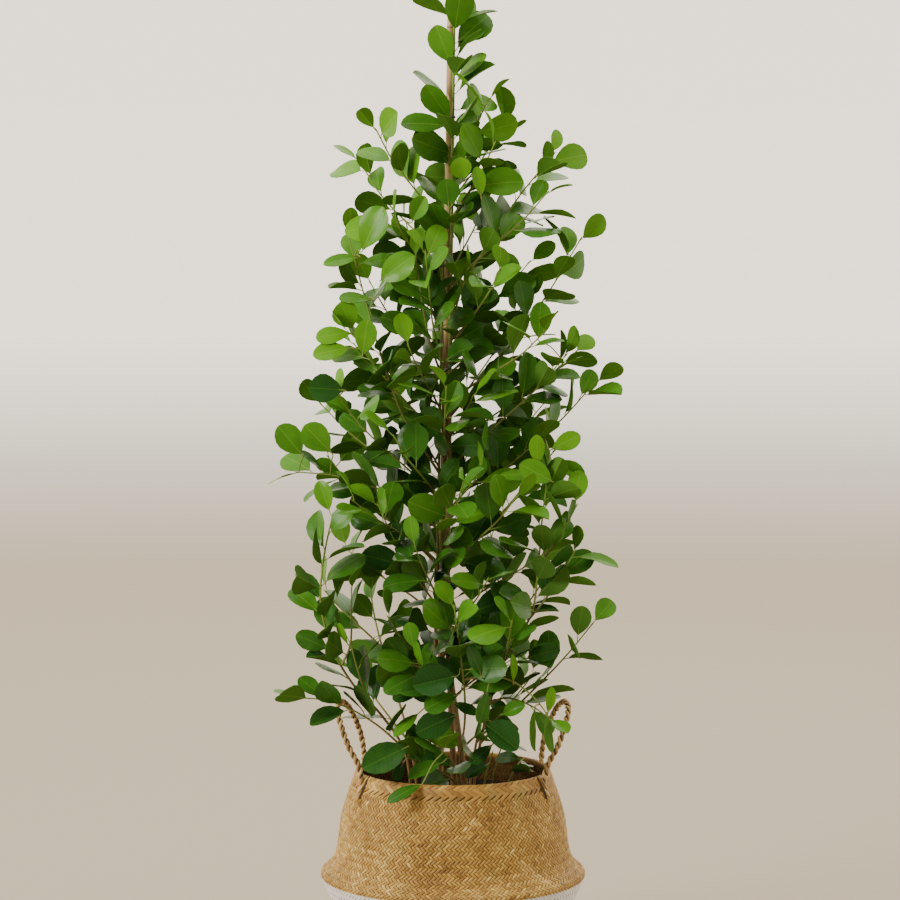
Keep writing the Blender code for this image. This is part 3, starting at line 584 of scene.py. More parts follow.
# painted shade: the hidden strips' brown and white are much darker than the strips' own colours
brown = ramp(add, murk, ((0.3, (0.07, 0.035, 0.012)), (0.7, (0.16, 0.085, 0.03))))
white = span(add, height, PAINT_LINE + PAINT_BLUR, PAINT_LINE - PAINT_BLUR)
tree.links.new(mix(add, white, brown, (0.42, 0.39, 0.34)), shader.inputs["Base Color"])
shader.inputs["Roughness"].default_value = 0.9
along = skin.at[::8]
sunk = skin.place(np.full(len(along), math.pi / 2), along, -STRIP_SINK)
profile = [(0.0, LINING_FLOOR[1]), LINING_FLOOR] + [(p[0], p[2]) for p in sunk if p[2] > 0.006]
profile += [LINING_BASE, (0.0, LINING_BASE[1])]
lining = spun("basket_lining", profile, 96, lining_shade_finish)
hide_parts("basket")

# Basket's base: the same plait laid flat in broader strips, and painted with the lower half.
BASE_STRIP = 0.0085
BASE_RADIUS = 0.1330
BASE_MARGIN = 0.006
BASE_SKIN = 0.0013            # the height of the base's skin
points, faces = thin_strip
rng = np.random.default_rng(8)
reach = int(BASE_RADIUS / BASE_STRIP) + 2
base_verts, base_uvs, base_tones, base_tuck_shades = [], [], [], []
for k in range(-reach, reach):
    for m in range(-reach, reach):
        step = (k - m) % 4
        if step not in (0, 2) or math.hypot(k, m) * BASE_STRIP > BASE_RADIUS - BASE_MARGIN:
            continue
        run, side, lift = points.T
        x, y = (k + 0.95 * side, m + 0.5 + run) if step == 0 else (k + 0.5 + run, m + 0.95 * side)
        base_verts.append(np.stack([x * BASE_STRIP, y * BASE_STRIP, BASE_SKIN - lift / MM], 1))
        shift = rng.uniform(0, 500)
        uv = np.stack([side * BASE_STRIP * MM, run * BASE_STRIP * MM + shift], -1)
        base_uvs.append(uv[faces])
        base_tones.append(np.full(len(points), rng.normal(0.5, 0.15)))
        # painted shade: the deeper a point dips under the base's skin, the darker it is painted
        base_tuck_shades.append(np.clip(-lift / TUCK_DEPTH, 0, 1))
base_faces = np.concatenate([faces + k * len(points) for k in range(len(base_verts))])
base = laid_mesh("basket_base", np.concatenate(base_verts), base_faces, np.concatenate(base_uvs),
                 {"tone": np.concatenate(base_tones), "tuck_shade": np.concatenate(base_tuck_shades)})
face_outwards(base, lambda p: Vector((0, 0, -1)))
finish_weave(base, seagrass_natural)

# Rope handles. Each is a loop of two seagrass strands laid round each other. Its legs run down the
# # outside of the wall, where the border is drawn over each with a painted shadow beside it for its
# gap, and end in the weave.
ROPE_LAY = 0.0225             # one full turn of the two strands
STRAND_RADIUS = 0.0026
STRAND_OFFSET = 0.0022        # from the rope's centre to a strand's
STRAND_STEP = 0.0011
LEG_TOP = 0.303               # below the rim the legs lean on the wall
LEG_LEAN = 0.012              # over this much height they come to lean fully
LEG_REST = 0.0005             # between the wall and a leg that leans on it
LEG_SUNK_TOP = 0.272          # from here down they sink into the weave
LEG_SINK = 0.006
HANDLE_LEFT = (
    (-0.1480, -0.0790, 0.2500), (-0.1435, -0.0765, 0.2720), (-0.1370, -0.0730, 0.3010),
    (-0.1410, -0.0700, 0.3200), (-0.1575, -0.0600, 0.3500), (-0.1720, -0.0340, 0.3900),
    (-0.1700, -0.0020, 0.4030), (-0.1590, 0.0320, 0.3900), (-0.1440, 0.0600, 0.3520),
    (-0.1380, 0.0710, 0.3200), (-0.1370, 0.0735, 0.3010), (-0.1435, 0.0765, 0.2720),
    (-0.1480, 0.0790, 0.2500),
)


def frames_along(route):
    """Two directions across a route at each point, carried along it without twisting."""
    tangents = [(b - a).normalized() for a, b in zip(route, route[1:])]
    tangents = [tangents[0]] + [(a + b).normalized() for a, b in zip(tangents, tangents[1:])] \
        + [tangents[-1]]
    side = tangents[0].orthogonal().normalized()
    result = []
    for tangent in tangents:
        side = (side - tangent * side.dot(tangent)).normalized()
        result.append((side, tangent.cross(side)))
    return result


def tube(route, radii, sides, tone=None):
    """A closed tube of quads: points, faces, UVs in mm across and along, and a number a point."""
    points, marks = [], [0.0]
    for a, b in zip(route, route[1:]):
        marks.append(marks[-1] + (b - a).length * MM)
    for place, (side, up), radius in zip(route, frames_along(route), radii):
        for k in range(sides):
            angle = math.tau * k / sides
            points.append(place + radius * (side * math.cos(angle) + up * math.sin(angle)))
    faces, uvs = [], []
    wide = math.tau * max(radii) * MM / sides
    for i in range(len(route) - 1):
        for k in range(sides):
            a, b = i * sides + k, i * sides + (k + 1) % sides
            faces.append((a, b, b + sides, a + sides))
            uvs.append(((k * wide, marks[i]), ((k + 1) * wide, marks[i]),
                        ((k + 1) * wide, marks[i + 1]), (k * wide, marks[i + 1])))
    last = (len(route) - 1) * sides
    for k in range(1, sides - 2, 2):
        faces += [(k + 2, k + 1, k, 0), (last, last + k, last + k + 1, last + k + 2)]
        uvs += [((0, marks[0]),) * 4, ((0, marks[-1]),) * 4]
    tones = np.repeat(np.zeros(len(route)) if tone is None else np.asarray(tone, float), sides)
    return np.array(points), np.array(faces), np.array(uvs, float), {"tone": tones}


def joined(name, shapes, finishes, marks=None):
    """One object from many shapes; marks gives each shape's material number."""
    count, faces, numbers = 0, [], []
    for index, (points, quads, _, _) in enumerate(shapes):
        faces.append(quads + count)
        count += len(points)
        numbers.append(np.broadcast_to(0 if marks is None else marks[index], len(quads)))
    values = {key: np.concatenate([shape[3][key] for shape in shapes]) for key in shapes[0][3]}
    made = laid_mesh(name, np.concatenate([shape[0] for shape in shapes]), np.concatenate(faces),
                     np.concatenate([shape[2] for shape in shapes]), values)
    for finish in finishes:
        made.data.materials.append(finish)
    made.data.polygons.foreach_set("material_index", np.concatenate(numbers))
    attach(made, "root")
    return made


def strands(route, lay, offset, radius, count, step, sides, seed):
    """Strands laid round each other along a route, each with its own colour and painted shade between
    them.
    """
    fine = spread_evenly(route, int(route_length(route) / step))
    rng = random.Random(seed)
    result = []
    for strand in range(count):
        course, marks = [], []
        for k, (place, (side, up)) in enumerate(zip(fine, frames_along(fine))):
            turn = math.tau * (k * step / lay + strand / count)
            course.append(place + offset * (side * math.cos(turn) + up * math.sin(turn)))
            marks.append(0.42 + 0.16 * math.sin(k * 0.045 + 2.4 * strand) + rng.uniform(-0.03, 0.03))
        thick = [radius * (1 + 0.06 * math.sin(k * 0.21 + strand)) for k in range(len(fine))]
        shape = tube(course, thick, sides, marks)
        centres = np.repeat(np.array(fine), sides, axis=0)
        # painted shade: a strand is darker on the side that faces the rope's centre, between the
        # strands
        depth = np.linalg.norm(shape[0] - centres, axis=1) / (offset + radius)
        shape[3]["tone"] -= 0.75 * np.clip((0.76 - depth) / 0.35, 0, 1)
        result.append(shape)
    return result


# painted shadow: near black, for the shade in the gap beside each rope leg
slit_shadow, tree, shader, add = new_material("slit_shadow")
shader.inputs["Base Color"].default_value = (0.055, 0.026, 0.010, 1)
shader.inputs["Roughness"].default_value = 0.95
rope_finish, tree, shader, add = new_material("rope_seagrass")
# tone holds each strand's own colour and the painted shade between the strands
tone = attribute(add, "tone")
run = add("ShaderNodeUVMap", uv_map="run").outputs["UV"]
fibres = add_fibre(add, run, 0.12)
level = calculate(add, "ADD", tone, span(add, fibres.outputs["Streak"], 0.3, 0.7, -0.2, 0.2))
dry = ramp(add, level, ((0.0, (0.050, 0.024, 0.007)), (0.22, (0.23, 0.130, 0.034)),
                        (0.5, (0.52, 0.355, 0.130)), (0.85, (0.76, 0.59, 0.28))))
tree.links.new(dry, shader.inputs["Base Color"])
shader.inputs["Roughness"].default_value = 0.62
emboss(add, shader, fibres.outputs["Streak"], 0.6, 0.0008)

outer_side = skin.at > 0.004
for handle_name, flip in (("handle_left", 1), ("handle_right", -1)):
    route = smooth_route([(x * flip, y, z) for x, y, z in HANDLE_LEFT], 160)
    shapes = strands(route, ROPE_LAY * flip, STRAND_OFFSET, STRAND_RADIUS, 2, STRAND_STEP, 8, 21)
    for points, _, _, _ in shapes:
        wall = np.interp(-points[:, 2], -skin.z[outer_side], skin.r[outer_side])
        low = np.clip((LEG_TOP - points[:, 2]) / LEG_LEAN, 0, 1) * (np.abs(points[:, 1]) > 0.06)
        far = np.hypot(points[:, 0], points[:, 1])
        sunk = LEG_SINK * np.clip((LEG_SUNK_TOP - points[:, 2]) / 0.014, 0, 1) * low
        points[:, :2] *= (1 - (low * 0.5 * (far - wall - LEG_REST) + sunk) / far)[:, None]
    rope = joined("rope_" + handle_name, shapes, [rope_finish])
    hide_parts(handle_name)

# A painted shadow for the slit that each leg pulls open in the border: a thin near-black sheet laid
# over the
# # weave, on the side that faces away from the loop. It leans outwards and narrows to a point at both
# ends.
SLIT_DEPTH = 0.0190           # its middle, down the skin from the rim
SLIT_HALF = (0.0125, 0.0036)  # half its length and half its width
SLIT_AWAY = 0.0078            # from the leg's centre
SLIT_LEAN = 0.0022
SLIT_LIFT = 0.0013
points, faces = thin_strip
slit_verts, slit_uvs = [], []
for leg_turn in LEG_TURNS:
    run, side, lift = points.T
    away = -1 if abs(leg_turn) > math.pi / 2 else 1
    across = -math.copysign(away, leg_turn) * (SLIT_AWAY - SLIT_LEAN * run / STRIP_REACH)
    across = across + 0.0004 * np.sin(3 * run)
    across = across + side * SLIT_HALF[1] * np.sqrt(np.clip(1 - (run / 1.75) ** 2, 0, 1))
    slit_verts.append(over_legs(leg_turn + across / LEG_RADIUS, SLIT_DEPTH + run * SLIT_HALF[0],
                                SLIT_LIFT + lift * 0.0002))
    slit_uvs.append(np.zeros((len(faces), 4, 2)))
slit_faces = np.concatenate([faces + k * len(points) for k in range(len(slit_verts))])
slit_shadows = laid_mesh("rope_leg_slit_shadows", np.concatenate(slit_verts), slit_faces,
                  np.concatenate(slit_uvs), {})
slit_shadows.data.materials.append(slit_shadow)
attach(slit_shadows, "root")

# Nursery pot. Thin black plastic, moulded with a rolled rim and a step under it. It stands on the
# basket's floor and holds the soil.
GAP = 0.0003                  # between two pieces that rest on each other
POT_WALL = 0.0018
POT_OUTER = ((0.1350, 0.2620), (0.1350, 0.2480), (0.1310, 0.2460), (0.1050, BASKET_WALL + GAP))
pot_plastic, tree, shader, add = new_material("pot_plastic")
place = add("ShaderNodeTexCoord").outputs["Object"]
dust = noise(add, place, 45, 5)
tree.links.new(mix(add, span(add, dust, 0.5, 0.75), (0.026, 0.018, 0.011), (0.070, 0.045, 0.025)),
               shader.inputs["Base Color"])
tree.links.new(span(add, dust, 0.35, 0.7, 0.5, 0.9), shader.inputs["Roughness"])
shader.inputs["Specular IOR Level"].default_value = 0.05
emboss(add, shader, dust, 0.2, 0.0005)


def pot_inner_radius(z):
    """The nursery pot's inner radius at height z on its sloping wall."""
    (r1, z1), (r0, z0) = POT_OUTER[2], POT_OUTER[3]
    return r0 + (r1 - r0) * (z - z0) / (z1 - z0) - POT_WALL


floor = POT_OUTER[3][1]
bore = pot_inner_radius(POT_OUTER[2][1])
pot = spun("pot", [
    (0, floor + POT_WALL), (pot_inner_radius(floor) - 0.002, floor + POT_WALL),
    (pot_inner_radius(floor + 0.004), floor + 0.004), (bore, 0.2460), (bore, 0.2600),
    (bore + 0.0006, 0.2612), (bore + 0.0020, 0.2619), (0.1336, 0.2619), (0.1347, 0.2612),
    (0.1350, 0.2600), (0.1350, 0.2490), (0.1345, 0.2482), (0.1330, 0.2478), (0.1312, 0.2465),
    (0.1306, 0.2440), (0.1052, floor + 0.003), (0.1030, floor), (0, floor)],
    96, pot_plastic)
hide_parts("nursery_pot")

# Soil. Dark peat compost, a little mounded round the stems, with crumbs, bark chips and a few
# pale grains of perlite on it.
SOIL_TOP = ((0.0, 0.2575), (0.0700, 0.2550))
SOIL_FOOT = SOIL_TOP[1][1]     # the soil's height at the stems
SOIL_EDGE_Z = 0.2500
SOIL_RINGS = 40
soil_finish, tree, shader, add = new_material("peat_soil")
place = add("ShaderNodeTexCoord").outputs["Object"]
clod = add("ShaderNodeTexNoise", {"Vector": place, "Scale": 160, "Detail": 6,
                                  "Roughness": 0.7}).outputs["Fac"]
tree.links.new(ramp(add, clod, ((0.3, (0.008, 0.005, 0.003)), (0.55, (0.030, 0.019, 0.012)),
                                (0.8, (0.085, 0.055, 0.034)))), shader.inputs["Base Color"])
shader.inputs["Roughness"].default_value = 0.95
emboss(add, shader, clod, 1.0, 0.003)
soil_low = floor + POT_WALL + GAP
soil_rim = pot_inner_radius(SOIL_EDGE_Z) - 1.5 * GAP
mound_r, mound_z = zip(*SOIL_TOP, (soil_rim, SOIL_EDGE_Z))
profile = [(0.0, SOIL_TOP[0][1])]
for k in range(1, SOIL_RINGS + 1):
    r = soil_rim * k / SOIL_RINGS
    profile.append((r, float(np.interp(r, mound_r, mound_z))))
profile += [(pot_inner_radius(soil_low) - GAP, soil_low), (0.0, soil_low)]
soil = spun("potting_soil", profile, 120, soil_finish)
clods = bpy.data.textures.new("clods", "CLOUDS")
clods.noise_scale = 0.012
clods.noise_depth = 4
top_points = soil.vertex_groups.new(name="top")
top_points.add([v.index for v in soil.data.vertices
                if v.co.z > 0.2 and math.hypot(v.co.x, v.co.y) < soil_rim - 0.002], 1, "REPLACE")
lumpy = soil.modifiers.new("clods", "DISPLACE")
lumpy.texture = clods
lumpy.strength = 0.006
lumpy.mid_level = 0.55
lumpy.direction = "Z"
lumpy.vertex_group = "top"
bpy.context.view_layer.objects.active = soil
bpy.ops.object.modifier_apply(modifier="clods")
soil.vertex_groups.clear()
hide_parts("soil")

# Crumbs on the soil: lumps of peat, chips of bark and grains of perlite, each its own size and
# lying its own way, half sunk in the top.
CRUMBS = ((0, 420, 0.0015, 0.0050), (1, 90, 0.0030, 0.0090), (2, 46, 0.0016, 0.0034))
FLATNESS = (0.8, 0.3, 0.8)    # a crumb's height by kind, as a share of its length
bpy.ops.mesh.primitive_cube_add(size=1)
chunk = bpy.context.object
bpy.ops.object.mode_set(mode="EDIT")
bpy.ops.mesh.select_all(action="SELECT")
bpy.ops.mesh.subdivide(number_cuts=1, smoothness=0.7)
bpy.ops.object.mode_set(mode="OBJECT")
chunk_points = np.array([v.co for v in chunk.data.vertices])
chunk_faces = np.array([p.vertices[:] for p in chunk.data.polygons])
bpy.data.objects.remove(chunk)
crumb_finishes = [soil_finish]
for crumb_name, dark, pale in (("bark_chip", (0.055, 0.026, 0.012), (0.17, 0.085, 0.040)),
                               ("perlite", (0.42, 0.40, 0.36), (0.70, 0.68, 0.64))):
    finish, tree, shader, add = new_material(crumb_name)
    tone = attribute(add, "tone")
    place = add("ShaderNodeTexCoord").outputs["Object"]
    speck = noise(add, place, 700, 3)
    level = calculate(add, "MULTIPLY", tone, speck)
    tree.links.new(ramp(add, level, ((0.1, dark), (0.6, pale))), shader.inputs["Base Color"])
    shader.inputs["Roughness"].default_value = 0.9
    crumb_finishes.append(finish)
ground = BVHTree.FromObject(soil, bpy.context.evaluated_depsgraph_get())
rng = np.random.default_rng(31)
crumbs, marks = [], []
for kind, number, small, large in CRUMBS:
    for _ in range(number):
        turn, far = rng.uniform(0, math.tau), (soil_rim - 0.006) * math.sqrt(rng.uniform(0, 1))
        spot = ground.ray_cast(Vector((far * math.cos(turn), far * math.sin(turn), 0.4)),
                               Vector((0, 0, -1)))[0]
        size = rng.uniform(small, large) * np.array([1, rng.uniform(0.5, 0.9), FLATNESS[kind]])
        tilt = Matrix.Rotation(rng.uniform(0, math.tau), 3, "Z") \
            @ Matrix.Rotation(rng.uniform(-0.5, 0.5), 3, "X")
        lump = chunk_points * (1 + rng.normal(0, 0.12, chunk_points.shape)) * size
        points = lump @ np.array(tilt).T + np.array(spot) + [0, 0, 0.25 * size[2]]
        crumbs.append((points, chunk_faces, np.zeros((len(chunk_faces), 4, 2)),
                       {"tone": np.full(len(points), rng.uniform(0.3, 1.0))}))
        marks.append(kind)
joined("soil_crumbs", crumbs, crumb_finishes, marks)

# Bamboo cane. One split-free cane, dry and tan, that holds the plant upright. A ridge and a dark
# groove mark each node, and the cane leans a little to the right on its way up.
CANE_RADIUS = 0.0055
CANE_FOOT = (-0.0203, 0.2655)
CANE_LEAN = 0.0146
CANE_TOP = 1.500
CANE_NODES = (0.36, 0.60, 0.83, 1.06, 1.235, 1.413)
NODE_RINGS = (                # round a node: height from it, extra radius, darkness
    (-0.060, 0.0, 0.0), (-0.012, 0.0, 0.05), (-0.0045, 0.0002, 0.15), (-0.0022, 0.0006, 0.25),
    (-0.0010, 0.0004, 0.6), (-0.0002, 0.0, 1.0), (0.0008, 0.0005, 0.5), (0.0024, 0.0006, 0.15),
    (0.0060, 0.0, 0.05), (0.020, -0.0001, 0.0),
)
STEM_DEPTH = 0.045            # how far the cane and the stems stand in the soil
UP = Vector((0, 0, 1))


def cane_at(z):
    """The cane's centre at height z."""
    return Vector((CANE_FOOT[0] + (z - CANE_FOOT[1]) * CANE_LEAN, 0, z))


cane_finish, tree, shader, add = new_material("bamboo")
tone = attribute(add, "tone")
place = add("ShaderNodeTexCoord").outputs["Object"]
run = add("ShaderNodeUVMap", uv_map="run").outputs["UV"]
fibres = add_fibre(add, run, 0.02)
spots = noise(add, place, 24, 4)
dry = ramp(add, fibres.outputs["Streak"], ((0.32, (0.26, 0.155, 0.045)), (0.5, (0.54, 0.370, 0.135)),
                                           (0.66, (0.72, 0.54, 0.28))))
dry = mix(add, span(add, spots, 0.45, 0.72, 0.0, 0.6), dry, (0.24, 0.120, 0.050))
tree.links.new(mix(add, tone, dry, (0.10, 0.055, 0.028)), shader.inputs["Base Color"])
shader.inputs["Roughness"].default_value = 0.45
emboss(add, shader, fibres.outputs["Grain"], 0.25, 0.0004)

heights, radii, marks = [SOIL_FOOT - STEM_DEPTH], [CANE_RADIUS * 0.97], [0.1]
for z in CANE_NODES:
    for rise, wide, dark in NODE_RINGS:
        heights.append(z + rise)
        radii.append(CANE_RADIUS * 0.985 + wide)
        marks.append(dark)
heights += [CANE_TOP - 0.0008, CANE_TOP]
radii += [CANE_RADIUS * 0.97, CANE_RADIUS * 0.85]
marks += [0.1, 0.3]
cane = joined("cane", [tube([cane_at(z) for z in heights], radii, 20, marks)], [cane_finish])
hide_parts("bamboo_cane")

# Leafy stems. Twelve stems rise from the soil. Seven are tied up along the cane, each in its own
# slot round it, and five lean out on their own. Side branches leave them steeply. The rule and
# the seed below place every branch and leaf clear of the others, as in the part's own source.
HANDLE_GAP_X = (0.118, 0.200)
HANDLE_GAP_Y = 0.040
HANDLE_GAP_Z = (0.311, 0.368)
SIDE_MARGIN = 0.004
TIE_HEIGHTS = (0.585, 0.735, 0.876, 1.003, 1.059, 1.280)
TIE_WIRE = 0.0008
TIE_PLAY = 0.0011
LEAF_KEEL = 0.0018           # thickness at the midrib
ROOT_HALF = 0.0007           # half width at its root, a small three-sided rod
LEAF_OUTLINE = ((0.42, 0.92), (0.82, 0.82), (1.00, 0.0))     # share of the blade, share of width
LEAF_SEED = 11
LEAF_TRIES = 14              # a leaf that is in the way of another is turned round its twig
LEAF_SWAY = math.radians(24)            # by this much more on each side in turn
LEAF_GAP = 0.0016            # kept between leaves of the same plant
FINE_GAP = 0.0004            # the same for the leaves that only the finer plant has
TWIG_FIRST = 0.34            # share of a side branch that stays bare
TWIG_SPACING = 0.0315        # between the leaves of a side branch
TIP_FIRST = 0.04             # the same two for the free top of a main stem
TIP_SPACING = 0.025
TIP_POINTS = 12
GOLDEN_TURN = math.radians(137.5)       # from each leaf round the twig to the next
# Main stems: slot is the azimuth round the cane in degrees, foot is where the stem leaves the soil,
# join and leave are the heights between which it follows the cane, and top is its free top. Each
# side branch has its height on the stem, its tip, and the tip's lift, which is up or nodding (-).
# stay_y keeps the stem wholly in front of the handles' finger gaps (-1) or behind them (1).
STEMS = {
    "stem_1": dict(
        slot=308, foot=(0.0195, -0.0130), join=0.50, leave=1.480, radius=(0.0056, 0.0018),
        top=((0.006, -0.010, 1.515), (0.003, -0.008, 1.535)), leaves_from=1.10,
        sides=(
            (0.410, (0.085, -0.085, 0.490), 0.2), (0.500, (0.050, -0.120, 0.600), 0.3),
            (0.600, (0.090, -0.135, 0.720), 0.3), (0.690, (0.040, -0.075, 0.755), 0.3),
            (0.755, (0.165, -0.060, 0.925), 0.3), (0.800, (0.028, -0.085, 0.865), 0.3),
            (0.850, (0.132, -0.105, 0.960), 0.4), (0.935, (0.068, -0.112, 1.050), 0.4),
            (0.985, (0.022, -0.075, 1.055), 0.3), (1.030, (0.138, -0.050, 1.165), 0.3),
            (1.130, (0.060, -0.070, 1.235), 0.4), (1.215, (0.050, -0.035, 1.300), 0.4),
        )),
    "stem_2": dict(
        slot=205, foot=(-0.040, -0.020), join=0.52, leave=1.110, radius=(0.0036, 0.0012),
        top=((-0.040, -0.022, 1.150), (-0.075, -0.035, 1.195), (-0.100, -0.045, 1.228),
             (-0.112, -0.050, 1.256)), leaves_from=1.15,
        sides=(
            (0.440, (-0.095, -0.085, 0.540), 0.2), (0.550, (-0.110, -0.070, 0.705), 0.4),
            (0.615, (-0.145, -0.115, 0.715), 0.2), (0.665, (-0.230, -0.030, 0.752), -0.4),
            (0.710, (-0.168, -0.080, 0.865), 0.4),
            (0.750, (-0.1545, -0.030, 1.100), 0.3), (0.800, (-0.145, -0.085, 0.955), 0.3),
            (0.900, (-0.055, -0.062, 1.070), 0.5), (1.025, (-0.088, -0.060, 1.130), 0.3),
        )),
    "stem_3": dict(
        slot=154, foot=(-0.044, 0.016), join=0.50, leave=1.060, radius=(0.0036, 0.0012),
        top=((-0.050, 0.030, 1.105), (-0.095, 0.045, 1.150), (-0.123, 0.050, 1.187),
             (-0.141, 0.050, 1.218)), leaves_from=1.12,
        sides=(
            (0.530, (-0.165, 0.070, 0.630), 0.3), (0.610, (-0.188, 0.030, 0.770), 0.4),
            (0.700, (-0.200, 0.050, 0.850), 0.3), (0.800, (-0.150, 0.085, 0.940), 0.4),
            (0.890, (-0.125, 0.035, 1.035), 0.4), (0.960, (-0.070, 0.090, 1.120), 0.4),
        )),
    "stem_4": dict(
        slot=359, foot=(0.004, 0.020), join=0.50, leave=0.980, radius=(0.0036, 0.0012),
        top=((0.020, 0.002, 1.040), (0.066, 0.008, 1.113), (0.1005, 0.010, 1.1655),
             (0.123, 0.010, 1.1925), (0.150, 0.010, 1.225)), leaves_from=1.06,
        sides=(
            (0.530, (0.160, 0.035, 0.640), 0.2), (0.610, (0.150, 0.000, 0.780), 0.4),
            (0.680, (0.212, -0.012, 0.885), 0.3), (0.780, (0.186, 0.045, 0.930), 0.2),
            (0.835, (0.190, 0.000, 1.098), 0.3), (0.900, (0.115, 0.055, 1.010), 0.4),
        )),
    "stem_5": dict(
        slot=256, foot=(-0.020, -0.036), join=0.50, leave=0.900, radius=(0.0034, 0.0012),
        top=((-0.028, -0.045, 0.960), (-0.036, -0.085, 1.030), (-0.040, -0.105, 1.075)),
        leaves_from=0.94,
        sides=(
            (0.400, (-0.055, -0.120, 0.490), 0.2), (0.455, (0.005, -0.135, 0.540), 0.2),
            (0.545, (-0.055, -0.145, 0.650), 0.2), (0.600, (-0.020, -0.075, 0.665), 0.3),
            (0.640, (0.015, -0.160, 0.745), 0.2), (0.700, (-0.085, -0.145, 0.810), 0.3),
            (0.775, (-0.010, -0.140, 0.880), 0.3), (0.835, (-0.065, -0.105, 0.940), 0.3),
        )),
    "stem_6": dict(
        slot=51, foot=(0.000, 0.042), join=0.54, leave=1.150, radius=(0.0034, 0.0012),
        top=((0.030, 0.032, 1.200), (0.060, 0.042, 1.245), (0.082, 0.048, 1.275)),
        leaves_from=1.15,
        sides=(
            (0.600, (0.110, 0.125, 0.720), 0.2), (0.710, (0.140, 0.100, 0.850), 0.3),
            (0.830, (0.080, 0.130, 0.960), 0.3), (0.945, (0.115, 0.080, 1.065), 0.3),
            (1.050, (0.045, 0.085, 1.150), 0.4),
        )),
    "stem_7": dict(
        slot=102, foot=(-0.030, 0.038), join=0.52, leave=0.920, radius=(0.0034, 0.0012),
        top=((-0.022, 0.045, 0.980), (-0.028, 0.085, 1.050), (-0.028, 0.110, 1.095)),
        leaves_from=0.96,
        sides=(
            (0.560, (-0.030, 0.165, 0.670), 0.2), (0.650, (0.025, 0.165, 0.780), 0.2),
            (0.745, (-0.085, 0.145, 0.850), 0.3), (0.830, (-0.015, 0.145, 0.940), 0.3),
        )),
    "stem_8": dict(
        foot=(-0.062, -0.052), radius=(0.0026, 0.0012), stay_y=-1,
        top=((-0.068, -0.056, 0.320), (-0.086, -0.062, 0.370), (-0.1365, -0.072, 0.4245),
             (-0.174, -0.080, 0.4845), (-0.192, -0.084, 0.543), (-0.195, -0.084, 0.585),
             (-0.190, -0.082, 0.630), (-0.178, -0.078, 0.690)), leaves_from=0.40,
        sides=(
            (0.345, (-0.228, -0.105, 0.4250), -0.5), (0.410, (-0.148, -0.122, 0.500), 0.4),
            (0.470, (-0.150, -0.074, 0.580), 0.5),
        )),
    "stem_9": dict(
        foot=(0.030, -0.050), radius=(0.0026, 0.0012), stay_y=-1,
        top=((0.036, -0.054, 0.320), (0.047, -0.058, 0.380), (0.073, -0.066, 0.468),
             (0.104, -0.074, 0.520), (0.121, -0.080, 0.565), (0.127, -0.082, 0.640),
             (0.134, -0.082, 0.714), (0.140, -0.082, 0.7545)), leaves_from=0.46,
        sides=(
            (0.350, (0.205, -0.080, 0.530), 0.2), (0.410, (0.142, -0.098, 0.3920), -0.7),
            (0.450, (0.085, -0.138, 0.540), 0.3), (0.535, (0.178, -0.076, 0.635), 0.3),
            (0.620, (0.180, -0.094, 0.705), 0.3),
        )),
    "stem_10": dict(
        foot=(0.008, -0.048), radius=(0.0024, 0.0012),
        top=((0.010, -0.056, 0.320), (0.018, -0.080, 0.400), (0.012, -0.110, 0.480),
             (0.002, -0.128, 0.560)), leaves_from=0.40,
        sides=(
            (0.285, (-0.085, -0.100, 0.340), -0.2), (0.300, (-0.015, -0.130, 0.350), -0.1),
            (0.340, (0.068, -0.115, 0.400), 0.1), (0.400, (-0.045, -0.125, 0.470), 0.3),
        )),
    "stem_11": dict(
        foot=(0.026, 0.050), radius=(0.0024, 0.0012),
        top=((0.036, 0.064, 0.330), (0.056, 0.092, 0.420), (0.070, 0.125, 0.500),
             (0.070, 0.145, 0.580), (0.060, 0.150, 0.640)), leaves_from=0.42,
        sides=(
            (0.330, (0.125, 0.105, 0.430), 0.1), (0.400, (0.000, 0.150, 0.490), 0.2),
            (0.480, (0.150, 0.120, 0.590), 0.3),
        )),
    "stem_12": dict(
        foot=(-0.056, 0.052), radius=(0.0024, 0.0012), stay_y=1,
        top=((-0.066, 0.062, 0.330), (-0.092, 0.088, 0.420), (-0.118, 0.115, 0.500),
             (-0.130, 0.125, 0.570)), leaves_from=0.40,
        sides=(
            (0.330, (-0.155, 0.095, 0.440), 0.0), (0.400, (-0.050, 0.150, 0.500), 0.3),
            (0.470, (-0.195, 0.080, 0.560), 0.2),
        )),
}
SLOT_CLEARANCE = 0.0009      # between the cane and a stem that follows it
STEM_POINTS = 9              # along a stem that isn't tied
TWIG_POINTS = 5
TWIG_RADIUS = (0.0021, 0.0012)
TWIG_TRIES = 14              # a side branch that is in the way of another is bent aside
TWIG_STEP = 0.004


def stem_radius(spec, z):
    """A stem's radius at height z: it tapers from its foot to its tip."""
    low, high = SOIL_EDGE_Z, spec["top"][-1][2]
    share = min(max((z - low) / (high - low), 0), 1)
    return spec["radius"][0] + (spec["radius"][1] - spec["radius"][0]) * share ** 0.8


def beside_cane(spec, z):
    """Where a tied stem's centre runs at height z, in its own slot round the cane."""
    slot = math.radians(spec["slot"])
    away = CANE_RADIUS + SLOT_CLEARANCE + stem_radius(spec, z)
    return cane_at(z) + away * Vector((math.cos(slot), math.sin(slot), 0))


